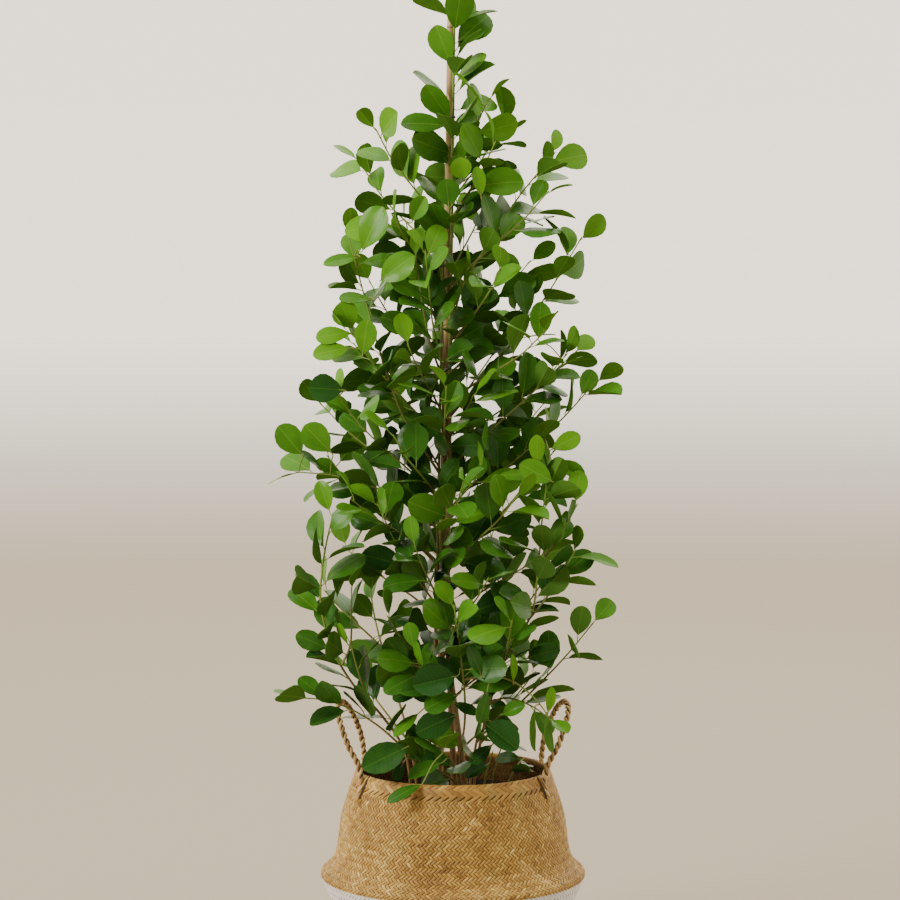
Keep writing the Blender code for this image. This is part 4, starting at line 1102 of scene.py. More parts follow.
def stem_route(spec):
    """The main stem's route, from inside the soil, along the cane if it is tied, to its tip."""
    x, y = spec["foot"]
    foot = [(x, y, SOIL_FOOT - STEM_DEPTH), (x, y, SOIL_FOOT + 0.01)]
    if "slot" not in spec:
        return smooth_route(foot + list(spec["top"]), STEM_POINTS)
    join, leave = spec["join"], spec["leave"]
    low = smooth_route([*foot, beside_cane(spec, join), beside_cane(spec, join + 0.05)], 5)
    along = [beside_cane(spec, join + share * (leave - join)) for share in (0.35, 0.70)]
    high = smooth_route([beside_cane(spec, leave - 0.03), beside_cane(spec, leave), *spec["top"]], 5)
    return [*low, *along, *high]


def point_at_height(route, z):
    """The point of a rising route at height z."""
    for a, b in zip(route, route[1:]):
        if a.z <= z <= b.z:
            return a.lerp(b, (z - a.z) / (b.z - a.z))
    return route[-1].copy()


def free_top(route, spec):
    """The leafy top of a stem's route, in TIP_POINTS points."""
    low = spec["leaves_from"]
    return spread_evenly([point_at_height(route, low)] + [p for p in route if p.z > low], TIP_POINTS)


def side_route(start, tip, lift, sway):
    """A side branch: it leaves the stem steeply and ends at its tip, a little lifted or nodding."""
    tip = Vector(tip) + sway
    chord = tip - start
    out = Vector((chord.x, chord.y, 0)).normalized()
    first = (0.7 * out + 0.75 * UP).normalized()
    last = (chord.normalized() + lift * UP).normalized()
    reach = chord.length
    a, b = start + 0.30 * reach * first + sway * 0.5, tip - 0.32 * reach * last
    fine = []
    for k in range(25):
        t = k / 24
        fine.append((1 - t) ** 3 * start + 3 * (1 - t) ** 2 * t * a
                    + 3 * (1 - t) * t * t * b + t ** 3 * tip)
    return spread_evenly(fine, TWIG_POINTS)


def baked_mesh(obj):
    """The object's mesh with its modifiers applied."""
    bpy.context.view_layer.update()
    return bpy.data.meshes.new_from_object(obj.evaluated_get(bpy.context.evaluated_depsgraph_get()))


def tube_object(name, route, radii, resolution):
    """A tube along a route as a closed mesh; resolution 0 gives 4 sides and 1 gives 6."""
    curve = bpy.data.curves.new(name, "CURVE")
    curve.dimensions = "3D"
    curve.bevel_depth = 1.0
    curve.bevel_resolution = resolution
    curve.use_fill_caps = True
    spline = curve.splines.new("POLY")
    spline.points.add(len(route) - 1)
    for point, place, radius in zip(spline.points, route, radii):
        point.co = (*place, 1)
        point.radius = radius
    source = bpy.data.objects.new(name + "_curve", curve)
    bpy.context.scene.collection.objects.link(source)
    mesh = baked_mesh(source)
    bpy.data.objects.remove(source)
    bm = bmesh.new()
    bm.from_mesh(mesh)
    bmesh.ops.remove_doubles(bm, verts=bm.verts, dist=1e-6)
    bmesh.ops.recalc_face_normals(bm, faces=bm.faces)
    bm.to_mesh(mesh)
    bm.free()
    mesh.name = name
    return bpy.data.objects.new(name, mesh)


def leaf_tree(leaf, grow):
    """A leaf's search tree and points, as one closed blade that is grown on all sides: a sphere of
    four rings and three columns, drawn out to the two rims and the keel under the midrib."""
    root, along, face = leaf["root"], leaf["along"], leaf["face"]
    side = along.cross(face)
    rings = [(root - along * 0.0004, 0), (root, ROOT_HALF)]
    for share, half in LEAF_OUTLINE:
        sag = leaf["droop"] * leaf["length"] * share ** 2
        centre = root + along * (leaf["petiole"] + share * leaf["length"]) - face * sag
        rings.append((centre, half * leaf["width"] / 2))
    bm = bmesh.new()
    bmesh.ops.create_uvsphere(bm, u_segments=3, v_segments=4, radius=1)
    for vert in bm.verts:
        ring = round(math.acos(max(-1, min(1, vert.co.z))) / (math.pi / 4))
        column = round(math.atan2(vert.co.x, vert.co.y) / (math.tau / 3))
        centre, half = rings[ring]
        thin = ring == 1
        if ring in (0, 4):
            vert.co = centre + along * (grow if ring == 4 else 0)
        elif column == 0:
            vert.co = centre - face * ((ROOT_HALF if thin else LEAF_KEEL) + 2 * grow)
        else:
            rise = ROOT_HALF / 2 if thin else 0
            vert.co = centre + side * column * (half + grow) + face * (rise + grow)
    if bm.calc_volume(signed=True) < 0:
        bmesh.ops.reverse_faces(bm, faces=bm.faces)
    bmesh.ops.triangulate(bm, faces=bm.faces)
    tree, points = BVHTree.FromBMesh(bm), [v.co.copy() for v in bm.verts]
    bm.free()
    return tree, points


def object_tree(obj):
    """A mesh object's search tree, in world space."""
    return BVHTree.FromPolygons([obj.matrix_world @ v.co for v in obj.data.vertices],
                                [p.vertices[:] for p in obj.data.polygons])


def bound(points):
    """The centre of some points and how far they reach from it."""
    centre = sum(points, Vector()) / len(points)
    return centre, max((p - centre).length for p in points)


class Clearing:
    """What the plant has to stay clear of: each thing's name, search tree, centre and reach."""

    def __init__(self):
        self.things = []

    def add(self, name, tree, points):
        """Adds a thing by its search tree and its points."""
        self.things.append((name, tree, *bound(points)))

    def add_object(self, obj):
        """Adds a mesh object."""
        self.add(obj.name, object_tree(obj), [obj.matrix_world @ v.co for v in obj.data.vertices])

    def hit(self, tree, points, stem, skip=()):
        """Whether anything but the skipped names is crossed, or the stem's own bound is."""
        stay = STEMS[stem].get("stay_y")
        if stay and min(p.y * stay for p in points) < HANDLE_GAP_Y + SIDE_MARGIN:
            return True
        centre, reach = bound(points)
        return any(
            (centre - other_centre).length < reach + other_reach and tree.overlap(other)
            for name, other, other_centre, other_reach in self.things if name not in skip)


def squared(face, along):
    """The part of face that is square to along, with length 1."""
    return (face - along * face.dot(along)).normalized()


def leaf_choice(rng, twig, place, turn, age, sway):
    """One leaf on a twig: place is its share of the way along, age 0 at the tip to 1 when old."""
    index = min(int(place * (len(twig) - 1)), len(twig) - 2)
    root = twig[index].lerp(twig[index + 1], place * (len(twig) - 1) - index)
    tangent = (twig[index + 1] - twig[index]).normalized()
    across = tangent.orthogonal().normalized()
    outward = Matrix.Rotation(turn + sway, 3, tangent) @ across
    spread = math.radians(rng.uniform(38, 62)) * (0.55 + 0.45 * age)
    along = (math.cos(spread) * tangent + math.sin(spread) * outward + 0.22 * UP).normalized()
    radial = Vector((root.x, root.y, 0)).normalized()
    light = UP * 0.9 + radial * 0.6 + Vector([rng.uniform(-0.6, 0.6) for _ in range(3)])
    length = rng.uniform(0.048, 0.065) * (0.70 + 0.30 * age)
    return dict(root=root, along=along, face=squared(light, along), length=length,
                petiole=rng.uniform(0.008, 0.013), width=length * rng.uniform(0.62, 0.74),
                droop=rng.uniform(0.05, 0.22))


def grow_leaves(rng, clearing, stem, twig, twig_name, first, spacing):
    """Leaves along a stem's twig from its tip down to the share first, each turned until clear."""
    length = route_length(twig)
    leaves, turn = [], rng.uniform(0, math.tau)
    count = max(int(length * (1 - first) / spacing), 2)
    for k in range(count + 1):
        place = 1 - 0.003 / length - k * (1 - first) / count
        turn += GOLDEN_TURN
        age = min(k / 3, 1)
        for attempt in range(LEAF_TRIES):
            sway = LEAF_SWAY * ((attempt + 1) // 2) * (-1) ** attempt
            leaf = leaf_choice(rng, twig, max(place, 0.02), turn, age, sway)
            tree, points = leaf_tree(leaf, LEAF_GAP / 2)
            if not clearing.hit(tree, points, stem, skip=(twig_name,)):
                clearing.add(f"{twig_name}_leaf", tree, points)
                leaves.append(leaf)
                break
    return leaves


def plan_plant(clearing):
    """Main stems first, then side branches bent clear of each other, then the leaves."""
    plan = {}
    for name, spec in STEMS.items():
        route = stem_route(spec)
        radii = [stem_radius(spec, p.z) for p in route]
        obj = tube_object(name, route, radii, 1)
        clearing.add(name, object_tree(obj), [v.co.copy() for v in obj.data.vertices])
        plan[name] = dict(obj=obj, route=route, twigs=[])
    rng = random.Random(LEAF_SEED)
    thick, thin = TWIG_RADIUS
    twig_radii = [thick + (thin - thick) * k / (TWIG_POINTS - 1) for k in range(TWIG_POINTS)]
    for name, spec in STEMS.items():
        for number, (height, tip, lift) in enumerate(spec["sides"], 1):
            twig_name = f"{name}_side_{number}"
            start = point_at_height(plan[name]["route"], height)
            for attempt in range(TWIG_TRIES):
                angle, step = rng.uniform(0, math.tau), TWIG_STEP * attempt
                sway = step * Vector((math.cos(angle), math.sin(angle), 0.3))
                route = side_route(start, tip, lift, sway)
                obj = tube_object(twig_name, route, twig_radii, 0)
                tree, points = object_tree(obj), [v.co.copy() for v in obj.data.vertices]
                if not clearing.hit(tree, points, name, skip=(name,)):
                    clearing.add(twig_name, tree, points)
                    plan[name]["twigs"].append((twig_name, obj, route))
                    break
                bpy.data.objects.remove(obj)
    for name, spec in STEMS.items():
        leaves = []
        for twig_name, _, route in plan[name]["twigs"]:
            leaves += grow_leaves(rng, clearing, name, route, twig_name, TWIG_FIRST, TWIG_SPACING)
        top = free_top(plan[name]["route"], spec)
        leaves += grow_leaves(rng, clearing, name, top, name, TIP_FIRST, TIP_SPACING)
        plan[name]["leaves"] = leaves
    return plan


clearing = Clearing()
for node in ("basket", "handle_left", "handle_right", "bamboo_cane"):
    clearing.add_object(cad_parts[node])
for flip in (-1, 1):
    bm = bmesh.new()
    bmesh.ops.create_cube(bm, size=1)
    size = (HANDLE_GAP_X[1] - HANDLE_GAP_X[0] + 0.01, 2 * HANDLE_GAP_Y + 0.01,
            HANDLE_GAP_Z[1] - HANDLE_GAP_Z[0] + 0.01)
    bmesh.ops.scale(bm, vec=size, verts=bm.verts)
    bmesh.ops.translate(bm, vec=(flip * sum(HANDLE_GAP_X) / 2, 0, sum(HANDLE_GAP_Z) / 2),
                        verts=bm.verts)
    clearing.add("gap", BVHTree.FromBMesh(bm), [v.co.copy() for v in bm.verts])
    bm.free()
for number in range(1, len(TIE_HEIGHTS) + 1):
    clearing.add_object(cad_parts[f"tie_{number}"])
plan = plan_plant(clearing)

# Front leaves. Large old leaves hang over the rim, and younger ones stand at the front and the left
# of the crown, each on a thin stalk from the nearest branch. One pale shoot arches to the right with
# leaves hanging from it, and three thin young ones come up from the soil inside the rim.
SHOOTS = (
    ((0.0140, -0.0980, 0.4500), (0.047, -0.108, 0.457), (0.083, -0.116, 0.453),
     (0.113, -0.116, 0.432), (0.129, -0.114, 0.414), (0.138, -0.112, 0.400)),
    ((0.055, -0.058, 0.250), (0.057, -0.061, 0.286), (0.061, -0.066, 0.310),
     (0.071, -0.075, 0.345), (0.077, -0.083, 0.368)),
    ((0.079, -0.036, 0.250), (0.082, -0.035, 0.280), (0.088, -0.034, 0.297),
     (0.096, -0.029, 0.311), (0.103, -0.020, 0.317)),
    ((0.044, -0.050, 0.250), (0.046, -0.050, 0.279), (0.050, -0.050, 0.305),
     (0.058, -0.052, 0.332)),
)
# Each leaf: base, tip, width, the way its face looks, and its age from 0 to 1
FRONT_LEAVES = (
    ((-0.068, -0.100, 0.360), (-0.127, -0.128, 0.337), 0.043, (0.1, -1, 0.45), 0.95),
    ((-0.018, -0.105, 0.328), (-0.063, -0.125, 0.314), 0.025, (0.0, -0.7, 0.8), 0.75),
    ((-0.048, -0.118, 0.311), (-0.092, -0.150, 0.298), 0.022, (0.0, -0.6, 0.9), 0.75),
    ((-0.073, -0.090, 0.326), (-0.085, -0.105, 0.305), 0.018, (0.3, -1, 0.2), 0.95),
    ((0.004, -0.120, 0.465), (-0.054, -0.135, 0.454), 0.046, (0.0, -1, 0.25), 1.0),
    ((0.007, -0.125, 0.433), (-0.039, -0.145, 0.419), 0.034, (0.0, -0.7, 0.8), 0.65),
    ((0.003, -0.120, 0.402), (-0.050, -0.135, 0.379), 0.038, (0.15, -1, 0.2), 0.95),
    ((-0.055, -0.095, 0.379), (0.006, -0.100, 0.359), 0.034, (0.0, 1, 0.3), 0.2),
    ((0.047, -0.110, 0.391), (0.092, -0.130, 0.361), 0.038, (0.2, -1, 0.35), 0.95),
    ((0.120, -0.110, 0.409), (0.114, -0.118, 0.351), 0.024, (-0.85, 0.5, 0.0), 0.6),
    ((0.138, -0.112, 0.400), (0.138, -0.120, 0.349), 0.022, (-0.85, 0.5, 0.0), 0.6),
    ((0.050, -0.120, 0.444), (0.042, -0.135, 0.400), 0.028, (0.6, -0.8, 0.0), 0.6),
    ((0.088, -0.118, 0.450), (0.089, -0.122, 0.488), 0.014, (0.5, -0.8, 0.0), 0.0),
    ((0.139, -0.115, 0.405), (0.146, -0.118, 0.440), 0.016, (0.4, -0.9, 0.0), 0.0),
    ((0.001, -0.110, 0.418), (0.034, -0.120, 0.406), 0.020, (0.0, -0.7, 0.7), 0.95),
    ((-0.052, -0.100, 0.400), (-0.086, -0.120, 0.375), 0.020, (0.0, -0.6, 0.8), 0.25),
    ((-0.075, -0.095, 0.473), (-0.113, -0.110, 0.455), 0.036, (0.0, 1, 0.5), 0.5),
    ((-0.056, -0.110, 0.458), (-0.098, -0.130, 0.440), 0.028, (0.0, -0.9, 0.5), 0.6),
    ((-0.047, -0.095, 0.435), (-0.087, -0.105, 0.426), 0.024, (0.0, -0.8, 0.5), 0.95),
    ((-0.065, -0.100, 0.474), (-0.095, -0.115, 0.510), 0.036, (-0.3, -1, 0.5), 0.8),
    ((0.041, -0.115, 0.470), (0.026, -0.125, 0.513), 0.024, (0.6, -0.8, 0.1), 0.7),
    ((0.109, -0.085, 0.485), (0.153, -0.095, 0.501), 0.028, (0.0, -0.8, 0.6), 0.9),
    ((0.058, -0.080, 0.351), (0.028, -0.095, 0.328), 0.022, (0.0, -0.8, 0.5), 0.95),
    ((0.101, -0.014, 0.317), (0.064, 0.024, 0.318), 0.024, (0.1, -0.8, 0.6), 0.9),
    ((0.104, -0.024, 0.310), (0.117, 0.028, 0.309), 0.020, (0.2, -0.7, 0.7), 0.9),
    ((0.116, -0.040, 0.309), (0.089, -0.052, 0.319), 0.022, (0.1, 0.8, 0.6), 0.8),
    ((0.086, -0.068, 0.349), (0.110, -0.060, 0.342), 0.013, (0.0, -0.3, 1.0), 0.9),
    ((0.052, -0.056, 0.318), (0.022, -0.085, 0.307), 0.022, (0.1, -0.8, 0.6), 0.9),
    ((-0.132, -0.085, 1.081), (-0.106, -0.100, 1.140), 0.044, (-0.2, -1, 0.2), 0.25),
    ((-0.105, -0.095, 1.037), (-0.061, -0.110, 1.071), 0.041, (0.1, -1, 0.35), 0.2),
    ((-0.060, -0.090, 1.123), (-0.042, -0.100, 1.156), 0.026, (0.1, -1, 0.3), 0.3),
    ((-0.141, -0.060, 1.070), (-0.188, -0.070, 1.064), 0.025, (0.0, -0.8, 0.6), 0.3),
    ((-0.119, -0.070, 1.008), (-0.164, -0.080, 1.015), 0.024, (0.0, -0.6, 0.8), 0.45),
    ((-0.148, -0.075, 0.967), (-0.164, -0.085, 1.002), 0.036, (-0.2, -1, 0.3), 0.1),
    ((-0.132, -0.090, 0.932), (-0.125, -0.105, 0.979), 0.036, (0.0, -1, 0.3), 0.3),
    ((-0.150, -0.060, 0.959), (-0.199, -0.070, 0.956), 0.028, (0.0, -0.9, 0.6), 0.1),
    ((-0.153, -0.070, 0.937), (-0.203, -0.080, 0.930), 0.033, (0.0, -1, 0.5), 0.1),
    ((-0.160, -0.075, 0.882), (-0.207, -0.085, 0.886), 0.040, (0.2, -1, 0.1), 1.0),
    ((-0.225, -0.030, 0.785), (-0.257, -0.040, 0.824), 0.038, (-0.2, -1, 0.2), 0.3),
    ((-0.181, -0.050, 0.783), (-0.217, -0.060, 0.821), 0.040, (-0.1, -1, 0.2), 0.35),
    ((0.124, -0.070, 0.777), (0.123, -0.080, 0.816), 0.024, (0.1, -1, 0.2), 0.15),
    ((0.146, -0.060, 0.788), (0.184, -0.070, 0.809), 0.027, (0.0, -1, 0.4), 0.05),
    ((0.144, -0.080, 0.749), (0.101, -0.090, 0.774), 0.034, (0.1, -1, 0.3), 0.15),
    ((0.149, -0.060, 0.770), (0.193, -0.070, 0.746), 0.028, (0.1, -0.9, 0.5), 0.2),
    ((0.126, -0.070, 0.952), (0.129, -0.080, 1.002), 0.035, (0.1, -1, 0.1), 0.45),
    ((0.013, -0.080, 1.184), (0.010, -0.090, 1.213), 0.030, (0.0, -1, 0.5), 0.0),
    ((0.041, -0.085, 1.158), (0.036, -0.095, 1.199), 0.021, (0.3, -1, 0.0), 0.05),
    ((-0.006, -0.100, 1.144), (-0.010, -0.110, 1.180), 0.033, (0.0, -1, 0.2), 0.55),
)
SHOOT_RADIUS = 0.0012
FRONT_PETIOLE = 0.004
FRONT_NUDGE = Vector((0, -0.003, -0.001))     # moves a front leaf that crosses something
FRONT_TRIES = 10
shoot_names = [f"shoot_{number}" for number in range(1, len(SHOOTS) + 1)]
for shoot_name, places in zip(shoot_names, SHOOTS):
    shoot = smooth_route(places, TIP_POINTS)
    shoot_object = tube_object(shoot_name, shoot, [SHOOT_RADIUS] * TIP_POINTS, 0)
    clearing.add_object(shoot_object)
    plan["stem_10"]["twigs"].append((shoot_name, shoot_object, shoot))
branch_points = [(name, p) for name, data in plan.items()
                 for route in [data["route"]] + [twig[2] for twig in data["twigs"]]
                 for p in spread_evenly(route, 40)]
front_rng = random.Random(2)
for base, tip, width, face, age in FRONT_LEAVES:
    base, tip, face = Vector(base), Vector(tip), Vector(face)
    along = (tip - base).normalized()
    for nudge in range(FRONT_TRIES):
        leaf = dict(root=base + FRONT_NUDGE * nudge - along * FRONT_PETIOLE, along=along,
                    face=squared(face, along), petiole=FRONT_PETIOLE, length=(tip - base).length,
                    width=width, droop=0.10, age=age)
        tree, points = leaf_tree(leaf, FINE_GAP / 2)
        if not clearing.hit(tree, points, "stem_10", skip=shoot_names):
            break
    clearing.add("front_leaf", tree, points)
    stem, anchor = min(branch_points, key=lambda item: (item[1] - leaf["root"]).length
                       + 2 * max(leaf["root"].y - item[1].y, 0))
    leaf["anchor"] = anchor
    plan[stem]["leaves"].append(leaf)

# Extra leaves. More leaves stand between the ones above, flatter and larger, down the barer
# stretches of the branches, round the leader and along the bundle of stems.
EXTRA_SPACING = 0.037         # between the tries along a branch
BUNDLE_SPACING = 0.048        # the same along a main stem below its leafy top
LEADER_SPACING = 0.012        # the same along the top of the leader
LOW_TWIG_Z = 0.65             # branches that start below this height are barer
LOW_SPARSENESS = 1.3
BUNDLE_FOOT = 0.46            # the bundle's leaves start at this height
EXTRA_TRIES = 16
EXTRA_SWAY = math.radians(22)
BOX_MARGIN = 0.004            # kept between the leaves' tips and the solids' own box
HANDLE_TOP = 0.43             # no leaf ends below this height further out than HANDLE_NEAR
HANDLE_NEAR = 0.10
extra_rng = random.Random(5)
low_corner, high_corner = Vector(cad_box[0]), Vector(cad_box[1])


def more_leaves(stem, twig, twig_name, low, high, spacing, outward=False):
    """Leaves between two shares of a branch, each turned round it until it is clear."""
    length = route_length(twig)
    turn, place = extra_rng.uniform(0, math.tau), low
    while place < high:
        turn += GOLDEN_TURN
        for attempt in range(EXTRA_TRIES):
            sway = EXTRA_SWAY * ((attempt + 1) // 2) * (-1) ** attempt
            leaf = leaf_choice(extra_rng, twig, place, turn, 1, sway)
            along = leaf["along"]
            along = Vector((along.x, along.y, along.z * extra_rng.uniform(0.1, 0.9) - 0.08))
            along.normalize()
            size = extra_rng.uniform(0.050, 0.068)
            leaf.update(along=along, face=squared(leaf["face"], along), length=size,
                        width=size * extra_rng.uniform(0.60, 0.70),
                        petiole=extra_rng.uniform(0.009, 0.015) * (1.6 if outward else 1.0))
            tip = leaf["root"] + along * (leaf["petiole"] + size)
            inside = all(low_corner[i] + BOX_MARGIN < tip[i] < high_corner[i] - BOX_MARGIN
                         for i in range(3))
            if not inside or (tip.z < HANDLE_TOP and abs(tip.x) > HANDLE_NEAR):
                continue
            tree, points = leaf_tree(leaf, FINE_GAP / 2)
            if not clearing.hit(tree, points, stem, skip=(twig_name,)):
                clearing.add(f"{twig_name}_leaf", tree, points)
                plan[stem]["leaves"].append(leaf)
                break
        place += spacing / length * extra_rng.uniform(0.8, 1.2)


for name, data in plan.items():
    for twig_name, _, route in data["twigs"]:
        if twig_name not in shoot_names:
            spacing = EXTRA_SPACING * (LOW_SPARSENESS if route[0].z < LOW_TWIG_Z else 1)
            more_leaves(name, route, twig_name, 0.14, 0.95, spacing)
    more_leaves(name, free_top(data["route"], STEMS[name]), name, 0.02, 0.99,
                LEADER_SPACING if name == "stem_1" else EXTRA_SPACING)
    if "slot" in STEMS[name]:
        bundle = [point_at_height(data["route"], z)
                  for z in np.linspace(BUNDLE_FOOT, STEMS[name]["leaves_from"], 12)]
        more_leaves(name, bundle, name, 0.0, 1.0, BUNDLE_SPACING, outward=True)
for data in plan.values():
    for obj in [data["obj"]] + [twig[1] for twig in data["twigs"]]:
        bpy.data.objects.remove(obj)

# Leaf blank. A thick rounded blade, widest past its middle, modelled flat: x in half widths,
# y in lengths from the petiole to the round tip, z through its thickness.
BLADE_ROWS = ((0.0, 0.05), (0.06, 0.18), (0.18, 0.50), (0.35, 0.82), (0.53, 0.99), (0.71, 0.97),
              (0.87, 0.74), (0.96, 0.43), (1.0, 0.10))
BLADE_THICKNESS = 0.0007
GROWTH = 1.04                 # the finer leaves are this much larger than the solids' leaves
LEADER_GROWTH = 1.13          # the same round the leader
LEADER_FOOT, LEADER_REACH = 1.15, 0.035   # its leaves grow above this, and this near the axis
FOLDS = (0.1, 0.2, 0.3, 0.4, 0.7)       # rises of a blade's side over its width
bpy.ops.mesh.primitive_grid_add(x_subdivisions=4, y_subdivisions=8, size=2)
blank = bpy.context.object
for v in blank.data.vertices:
    share, half = BLADE_ROWS[round((v.co.y + 1) * 4)]
    v.co = (v.co.x * half, share, 0)
thick = blank.modifiers.new("thick", "SOLIDIFY")
thick.thickness = BLADE_THICKNESS
thick.offset = -1
bpy.ops.object.modifier_apply(modifier="thick")
blade_points = np.array([v.co[:] for v in blank.data.vertices])
blade_faces = np.array([p.vertices[:] for p in blank.data.polygons])
blade_marks = np.array([2 if p.center.z < -0.0001 else 1 for p in blank.data.polygons])
bpy.data.objects.remove(blank)


def blade(leaf, rng, age):
    """One bent copy of the blank: folded a little at the midrib, its sides rolled, its tip drooped."""
    x, s, z = blade_points.T
    root, along, face = leaf["root"], leaf["along"], leaf["face"]
    on_leader = root.z > LEADER_FOOT and math.hypot(root.x, root.y) < LEADER_REACH
    growth = LEADER_GROWTH if on_leader else GROWTH
    length, half = leaf["length"] * growth, leaf["width"] / 2 * growth * rng.uniform(0.90, 1.06)
    s = s ** rng.uniform(0.88, 1.15)
    wide = x * half * (1 + rng.uniform(-0.06, 0.06) * np.sign(x))
    fold, roll = rng.choice(FOLDS) * rng.uniform(0.7, 1.2), rng.uniform(-2, 16)
    wave, phase = rng.uniform(0, 0.0012), rng.uniform(0, math.tau)
    twist = rng.uniform(-0.25, 0.25)
    rise = fold * np.abs(wide) - roll * wide ** 2 + twist * wide * s \
        + wave * np.sin(phase + s * 9) * np.abs(x) + z
    sag = leaf["droop"] * 1.25 * length * s ** 2
    root, along, face = np.array(root), np.array(along), np.array(face)
    side = np.cross(along, face)
    points = root + along * (leaf["petiole"] + s * length)[:, None] + side * wide[:, None] \
        + face * (rise - sag)[:, None]
    flat = np.column_stack((wide / length, s))
    ones = np.ones(len(points))
    return points, blade_faces, flat[blade_faces], {"tone": ones * rng.random(), "age": ones * age}


def rod(route, radii, sides, tone, age):
    """A tube with the two numbers a leafy stem's materials read."""
    points, faces, uvs, values = tube(route, radii, sides, tone)
    return points, faces, uvs, {**values, "age": np.full(len(points), float(age))}


bark, tree, shader, add = new_material("bark")
tone = attribute(add, "tone")
place = add("ShaderNodeTexCoord").outputs["Object"]
speckle = noise(add, place, 260, 4)
patch = noise(add, place, 40, 3)
grown = calculate(add, "ADD", tone, span(add, patch, 0.3, 0.7, -0.15, 0.15))
wood = ramp(add, grown, ((0.0, (0.205, 0.118, 0.036)), (0.25, (0.20, 0.130, 0.038)),
                         (0.5, (0.165, 0.145, 0.032)), (1.0, (0.17, 0.29, 0.030))))
wood = mix(add, span(add, speckle, 0.52, 0.75, 0.0, 0.4), wood, (0.36, 0.26, 0.14))
tree.links.new(wood, shader.inputs["Base Color"])
shader.inputs["Roughness"].default_value = 0.6
emboss(add, shader, speckle, 0.3, 0.0006)

# The leaf's two sides: their greens from young to old, roughness, specular level and wax. The top
# is waxy and dark when old, and the underside is paler and dull. The midrib fades with age.
LEAF_SIDES = {
    "leaf_top": (((0.0, (0.112, 0.305, 0.010)), (0.30, (0.072, 0.222, 0.011)),
                  (0.62, (0.038, 0.137, 0.011)), (1.0, (0.015, 0.070, 0.010))), 0.38, 0.10, 0.20),
    "leaf_under": (((0.0, (0.088, 0.222, 0.016)), (0.4, (0.074, 0.183, 0.024)),
                    (1.0, (0.052, 0.124, 0.024))), 0.85, 0.03, 0.0),
}
VEIN_SLANT = -0.55            # the side veins climb towards the edge
VEIN_STEPS = 20.0             # side veins and the spaces between them, over a leaf's length
VEIN_COLOUR = (0.22, 0.36, 0.07)
RIB_COLOUR = (0.24, 0.42, 0.06)
leaf_finishes = []
for leaf_name, (colours, rough, specular, wax) in LEAF_SIDES.items():
    finish, tree, shader, add = new_material(leaf_name)
    age = attribute(add, "age")
    tone = attribute(add, "tone")
    flat = add("ShaderNodeSeparateXYZ", {0: add("ShaderNodeUVMap", uv_map="run").outputs["UV"]})
    across = calculate(add, "ABSOLUTE", flat.outputs["X"])
    place = add("ShaderNodeTexCoord").outputs["Object"]
    patch = noise(add, place, 60, 4)
    grown = calculate(add, "ADD", age, span(add, patch, 0.3, 0.7, -0.08, 0.08))
    grown = calculate(add, "ADD", grown, span(add, tone, 0.0, 1.0, -0.12, 0.12))
    green = ramp(add, grown, colours)
    rise = calculate(add, "MULTIPLY_ADD", across, VEIN_SLANT, flat.outputs["Y"])
    saw = calculate(add, "PINGPONG", calculate(add, "MULTIPLY", rise, VEIN_STEPS), 1.0)
    vein = span(add, saw, 0.0, 0.22, 1.0, 0.0)
    green = mix(add, span(add, vein, 0.0, 1.0, 0.0, 0.045), green, VEIN_COLOUR)
    rib = span(add, across, 0.004, 0.015, 1.0, 0.0)
    pale = calculate(add, "MULTIPLY", rib, span(add, grown, 0.3, 0.85, 0.38, 0.14))
    green = mix(add, pale, green, RIB_COLOUR)
    tree.links.new(green, shader.inputs["Base Color"])
    shader.inputs["Roughness"].default_value = rough
    shader.inputs["Specular IOR Level"].default_value = specular
    shader.inputs["IOR"].default_value = 1.32
    shader.inputs["Coat Weight"].default_value = wax
    shader.inputs["Coat Roughness"].default_value = 0.16
    shader.inputs["Coat IOR"].default_value = 1.4
    emboss(add, shader, calculate(add, "MULTIPLY_ADD", vein, -0.3, rib), 0.3, 0.0005)
    leaf_finishes.append(finish)

BARK_FOOT = 0.3               # the stems start to turn green from this height up
GROWN_FROM = 0.09             # a leaf this far from its branch's tip is full grown
CROWN_TOP, CROWN_HEIGHT = 1.14, 0.9     # leaves are the older the lower they are in the crown


def clamped(value):
    """The value, kept between 0 and 1."""
    return min(max(value, 0.0), 1.0)


def stem_rod(route, spec):
    """A main stem: brown at its foot and green at its top."""
    top_z = route[-1].z
    tones = [clamped((p.z - BARK_FOOT) / (top_z - BARK_FOOT)) ** 0.8 for p in route]
    return rod(route, [stem_radius(spec, p.z) * 0.97 for p in route], 10, tones, 1)


def twig_rod(route, top_z):
    """A side branch: swollen where it leaves the stem, and greener towards its tip."""
    low = clamped((route[0].z - BARK_FOOT) / (top_z - BARK_FOOT))
    radii = [0.0026, 0.0020] + [0.0018 - 0.0008 * k / 12 for k in range(13)]
    return rod(route, radii, 6, [0.4 + 0.2 * low + 0.4 * k / 14 for k in range(15)], 1)


def bud(route):
    """The pointed green bud at a branch's tip."""
    course = (route[-1] - route[-2]).normalized()
    places = [route[-1] + course * far for far in (-0.002, 0.001, 0.004, 0.0075)]
    return rod(places, [0.0011, 0.0013, 0.0009, 0.0001], 6, [1.0] * 4, 0)


def stalk(leaf):
    """The thin stalk that carries a front leaf from its branch, arched a little."""
    root, anchor = leaf["root"], leaf["anchor"]
    middle = anchor.lerp(root, 0.5) + Vector((0, 0, 0.12 * (root - anchor).length))
    route = smooth_route([anchor, middle, root, root + leaf["along"] * 0.012], 12)
    return rod(route, [0.0010] * 9 + [0.0009, 0.0008, 0.0004], 5, [0.7] * 12, 0)


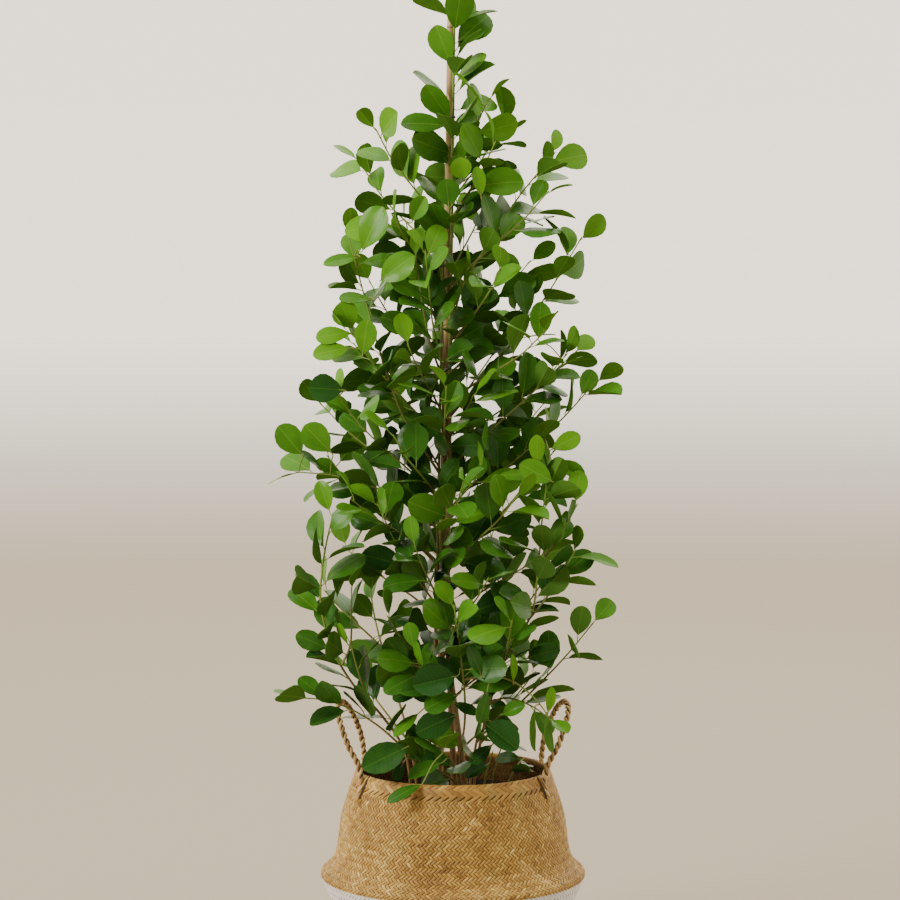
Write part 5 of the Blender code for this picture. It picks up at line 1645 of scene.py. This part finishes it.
def petiole(leaf, anchor):
    """A leaf's petiole: from inside the branch, under the blade, to a third of its length."""
    root, along = leaf["root"], leaf["along"]
    base = root + along * leaf["petiole"]
    places = [root.lerp(anchor, 0.6), root + along * leaf["petiole"] * 0.5, base,
              base + along * 0.3 * leaf["length"] - leaf["face"] * 0.0012]
    return rod(places, [0.0008, 0.0008, 0.0009, 0.0003], 4, [1.0] * 4, 0)


blade_rng = random.Random(3)
for name, spec in STEMS.items():
    data = plan[name]
    route = smooth_route(data["route"], 70)
    twigs = [smooth_route(twig, 15) for _, _, twig in data["twigs"]]
    branches = [route, *twigs]
    wood = [stem_rod(route, spec), *(twig_rod(twig, route[-1].z) for twig in twigs),
            *(bud(branch) for branch in branches)]
    parts = [(shape, 0) for shape in wood]
    for leaf in data["leaves"]:
        root = leaf["root"]
        if "anchor" in leaf:
            parts += [(stalk(leaf), 0), (blade(leaf, front_rng, leaf["age"]), blade_marks)]
            continue
        from_tip = min((root - branch[-1]).length for branch in branches)
        age = clamped(from_tip / GROWN_FROM) * 0.55 + 0.50 * (CROWN_TOP - root.z) / CROWN_HEIGHT
        age = clamped(age + blade_rng.uniform(-0.12, 0.12))
        anchor = min((p for branch in branches for p in branch),
                     key=lambda p: (p - root).length_squared)
        parts += [(petiole(leaf, anchor), 0), (blade(leaf, blade_rng, age), blade_marks)]
    stem = joined(f"leafy_{name}", [shape for shape, _ in parts], [bark, *leaf_finishes],
                  [mark for _, mark in parts])
    bpy.context.view_layer.objects.active = stem
    stem.select_set(True)
    bpy.ops.object.shade_smooth_by_angle(angle=math.radians(50))
    stem.select_set(False)
    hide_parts(name)

# Ties. Thin black wire, one loop round the cane and the stems that pass at its height, with its
# two ends twisted together at the front.
TIE_STEPS = 60
ROUND_STEPS = 24
tie_wire, tree, shader, add = new_material("tie_wire")
shader.inputs["Base Color"].default_value = (0.012, 0.012, 0.012, 1)
shader.inputs["Roughness"].default_value = 0.45
for number, height in enumerate(TIE_HEIGHTS, 1):
    rounds = [(cane_at(height), CANE_RADIUS)]
    for name, spec in STEMS.items():
        if "slot" in spec and spec["join"] < height < spec["leave"]:
            rounds.append((point_at_height(plan[name]["route"], height), stem_radius(spec, height)))
    points = []
    for centre, radius in rounds:
        reach = radius + TIE_WIRE + TIE_PLAY * 0.4
        for k in range(ROUND_STEPS):
            angle = math.tau * k / ROUND_STEPS
            points.append(Vector((centre.x + reach * math.cos(angle),
                                  centre.y + reach * math.sin(angle))))
    hull = [points[i] for i in convex_hull_2d(points)]
    start = min(range(len(hull)), key=lambda i: hull[i].y)
    hull = hull[start:] + hull[:start]
    loop = [Vector((p.x, p.y, height + 0.0006 * math.sin(k))) for k, p in enumerate(hull)]
    loop = smooth_route(loop + [loop[0] + Vector((0, 0, 0.0012))], TIE_STEPS)
    ends = [loop[0] + Vector(move)
            for move in ((0, -0.0004, 0), (0.002, -0.0045, 0.001), (0.003, -0.009, -0.002))]
    shapes = [tube(loop, [TIE_WIRE] * TIE_STEPS, 6)]
    shapes += strands(smooth_route(ends, 20), 0.003, 0.0006, 0.0006, 2, 0.0005, 6, number)
    tie = joined(f"wire_tie_{number}", shapes, [tie_wire])
    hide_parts(f"tie_{number}")
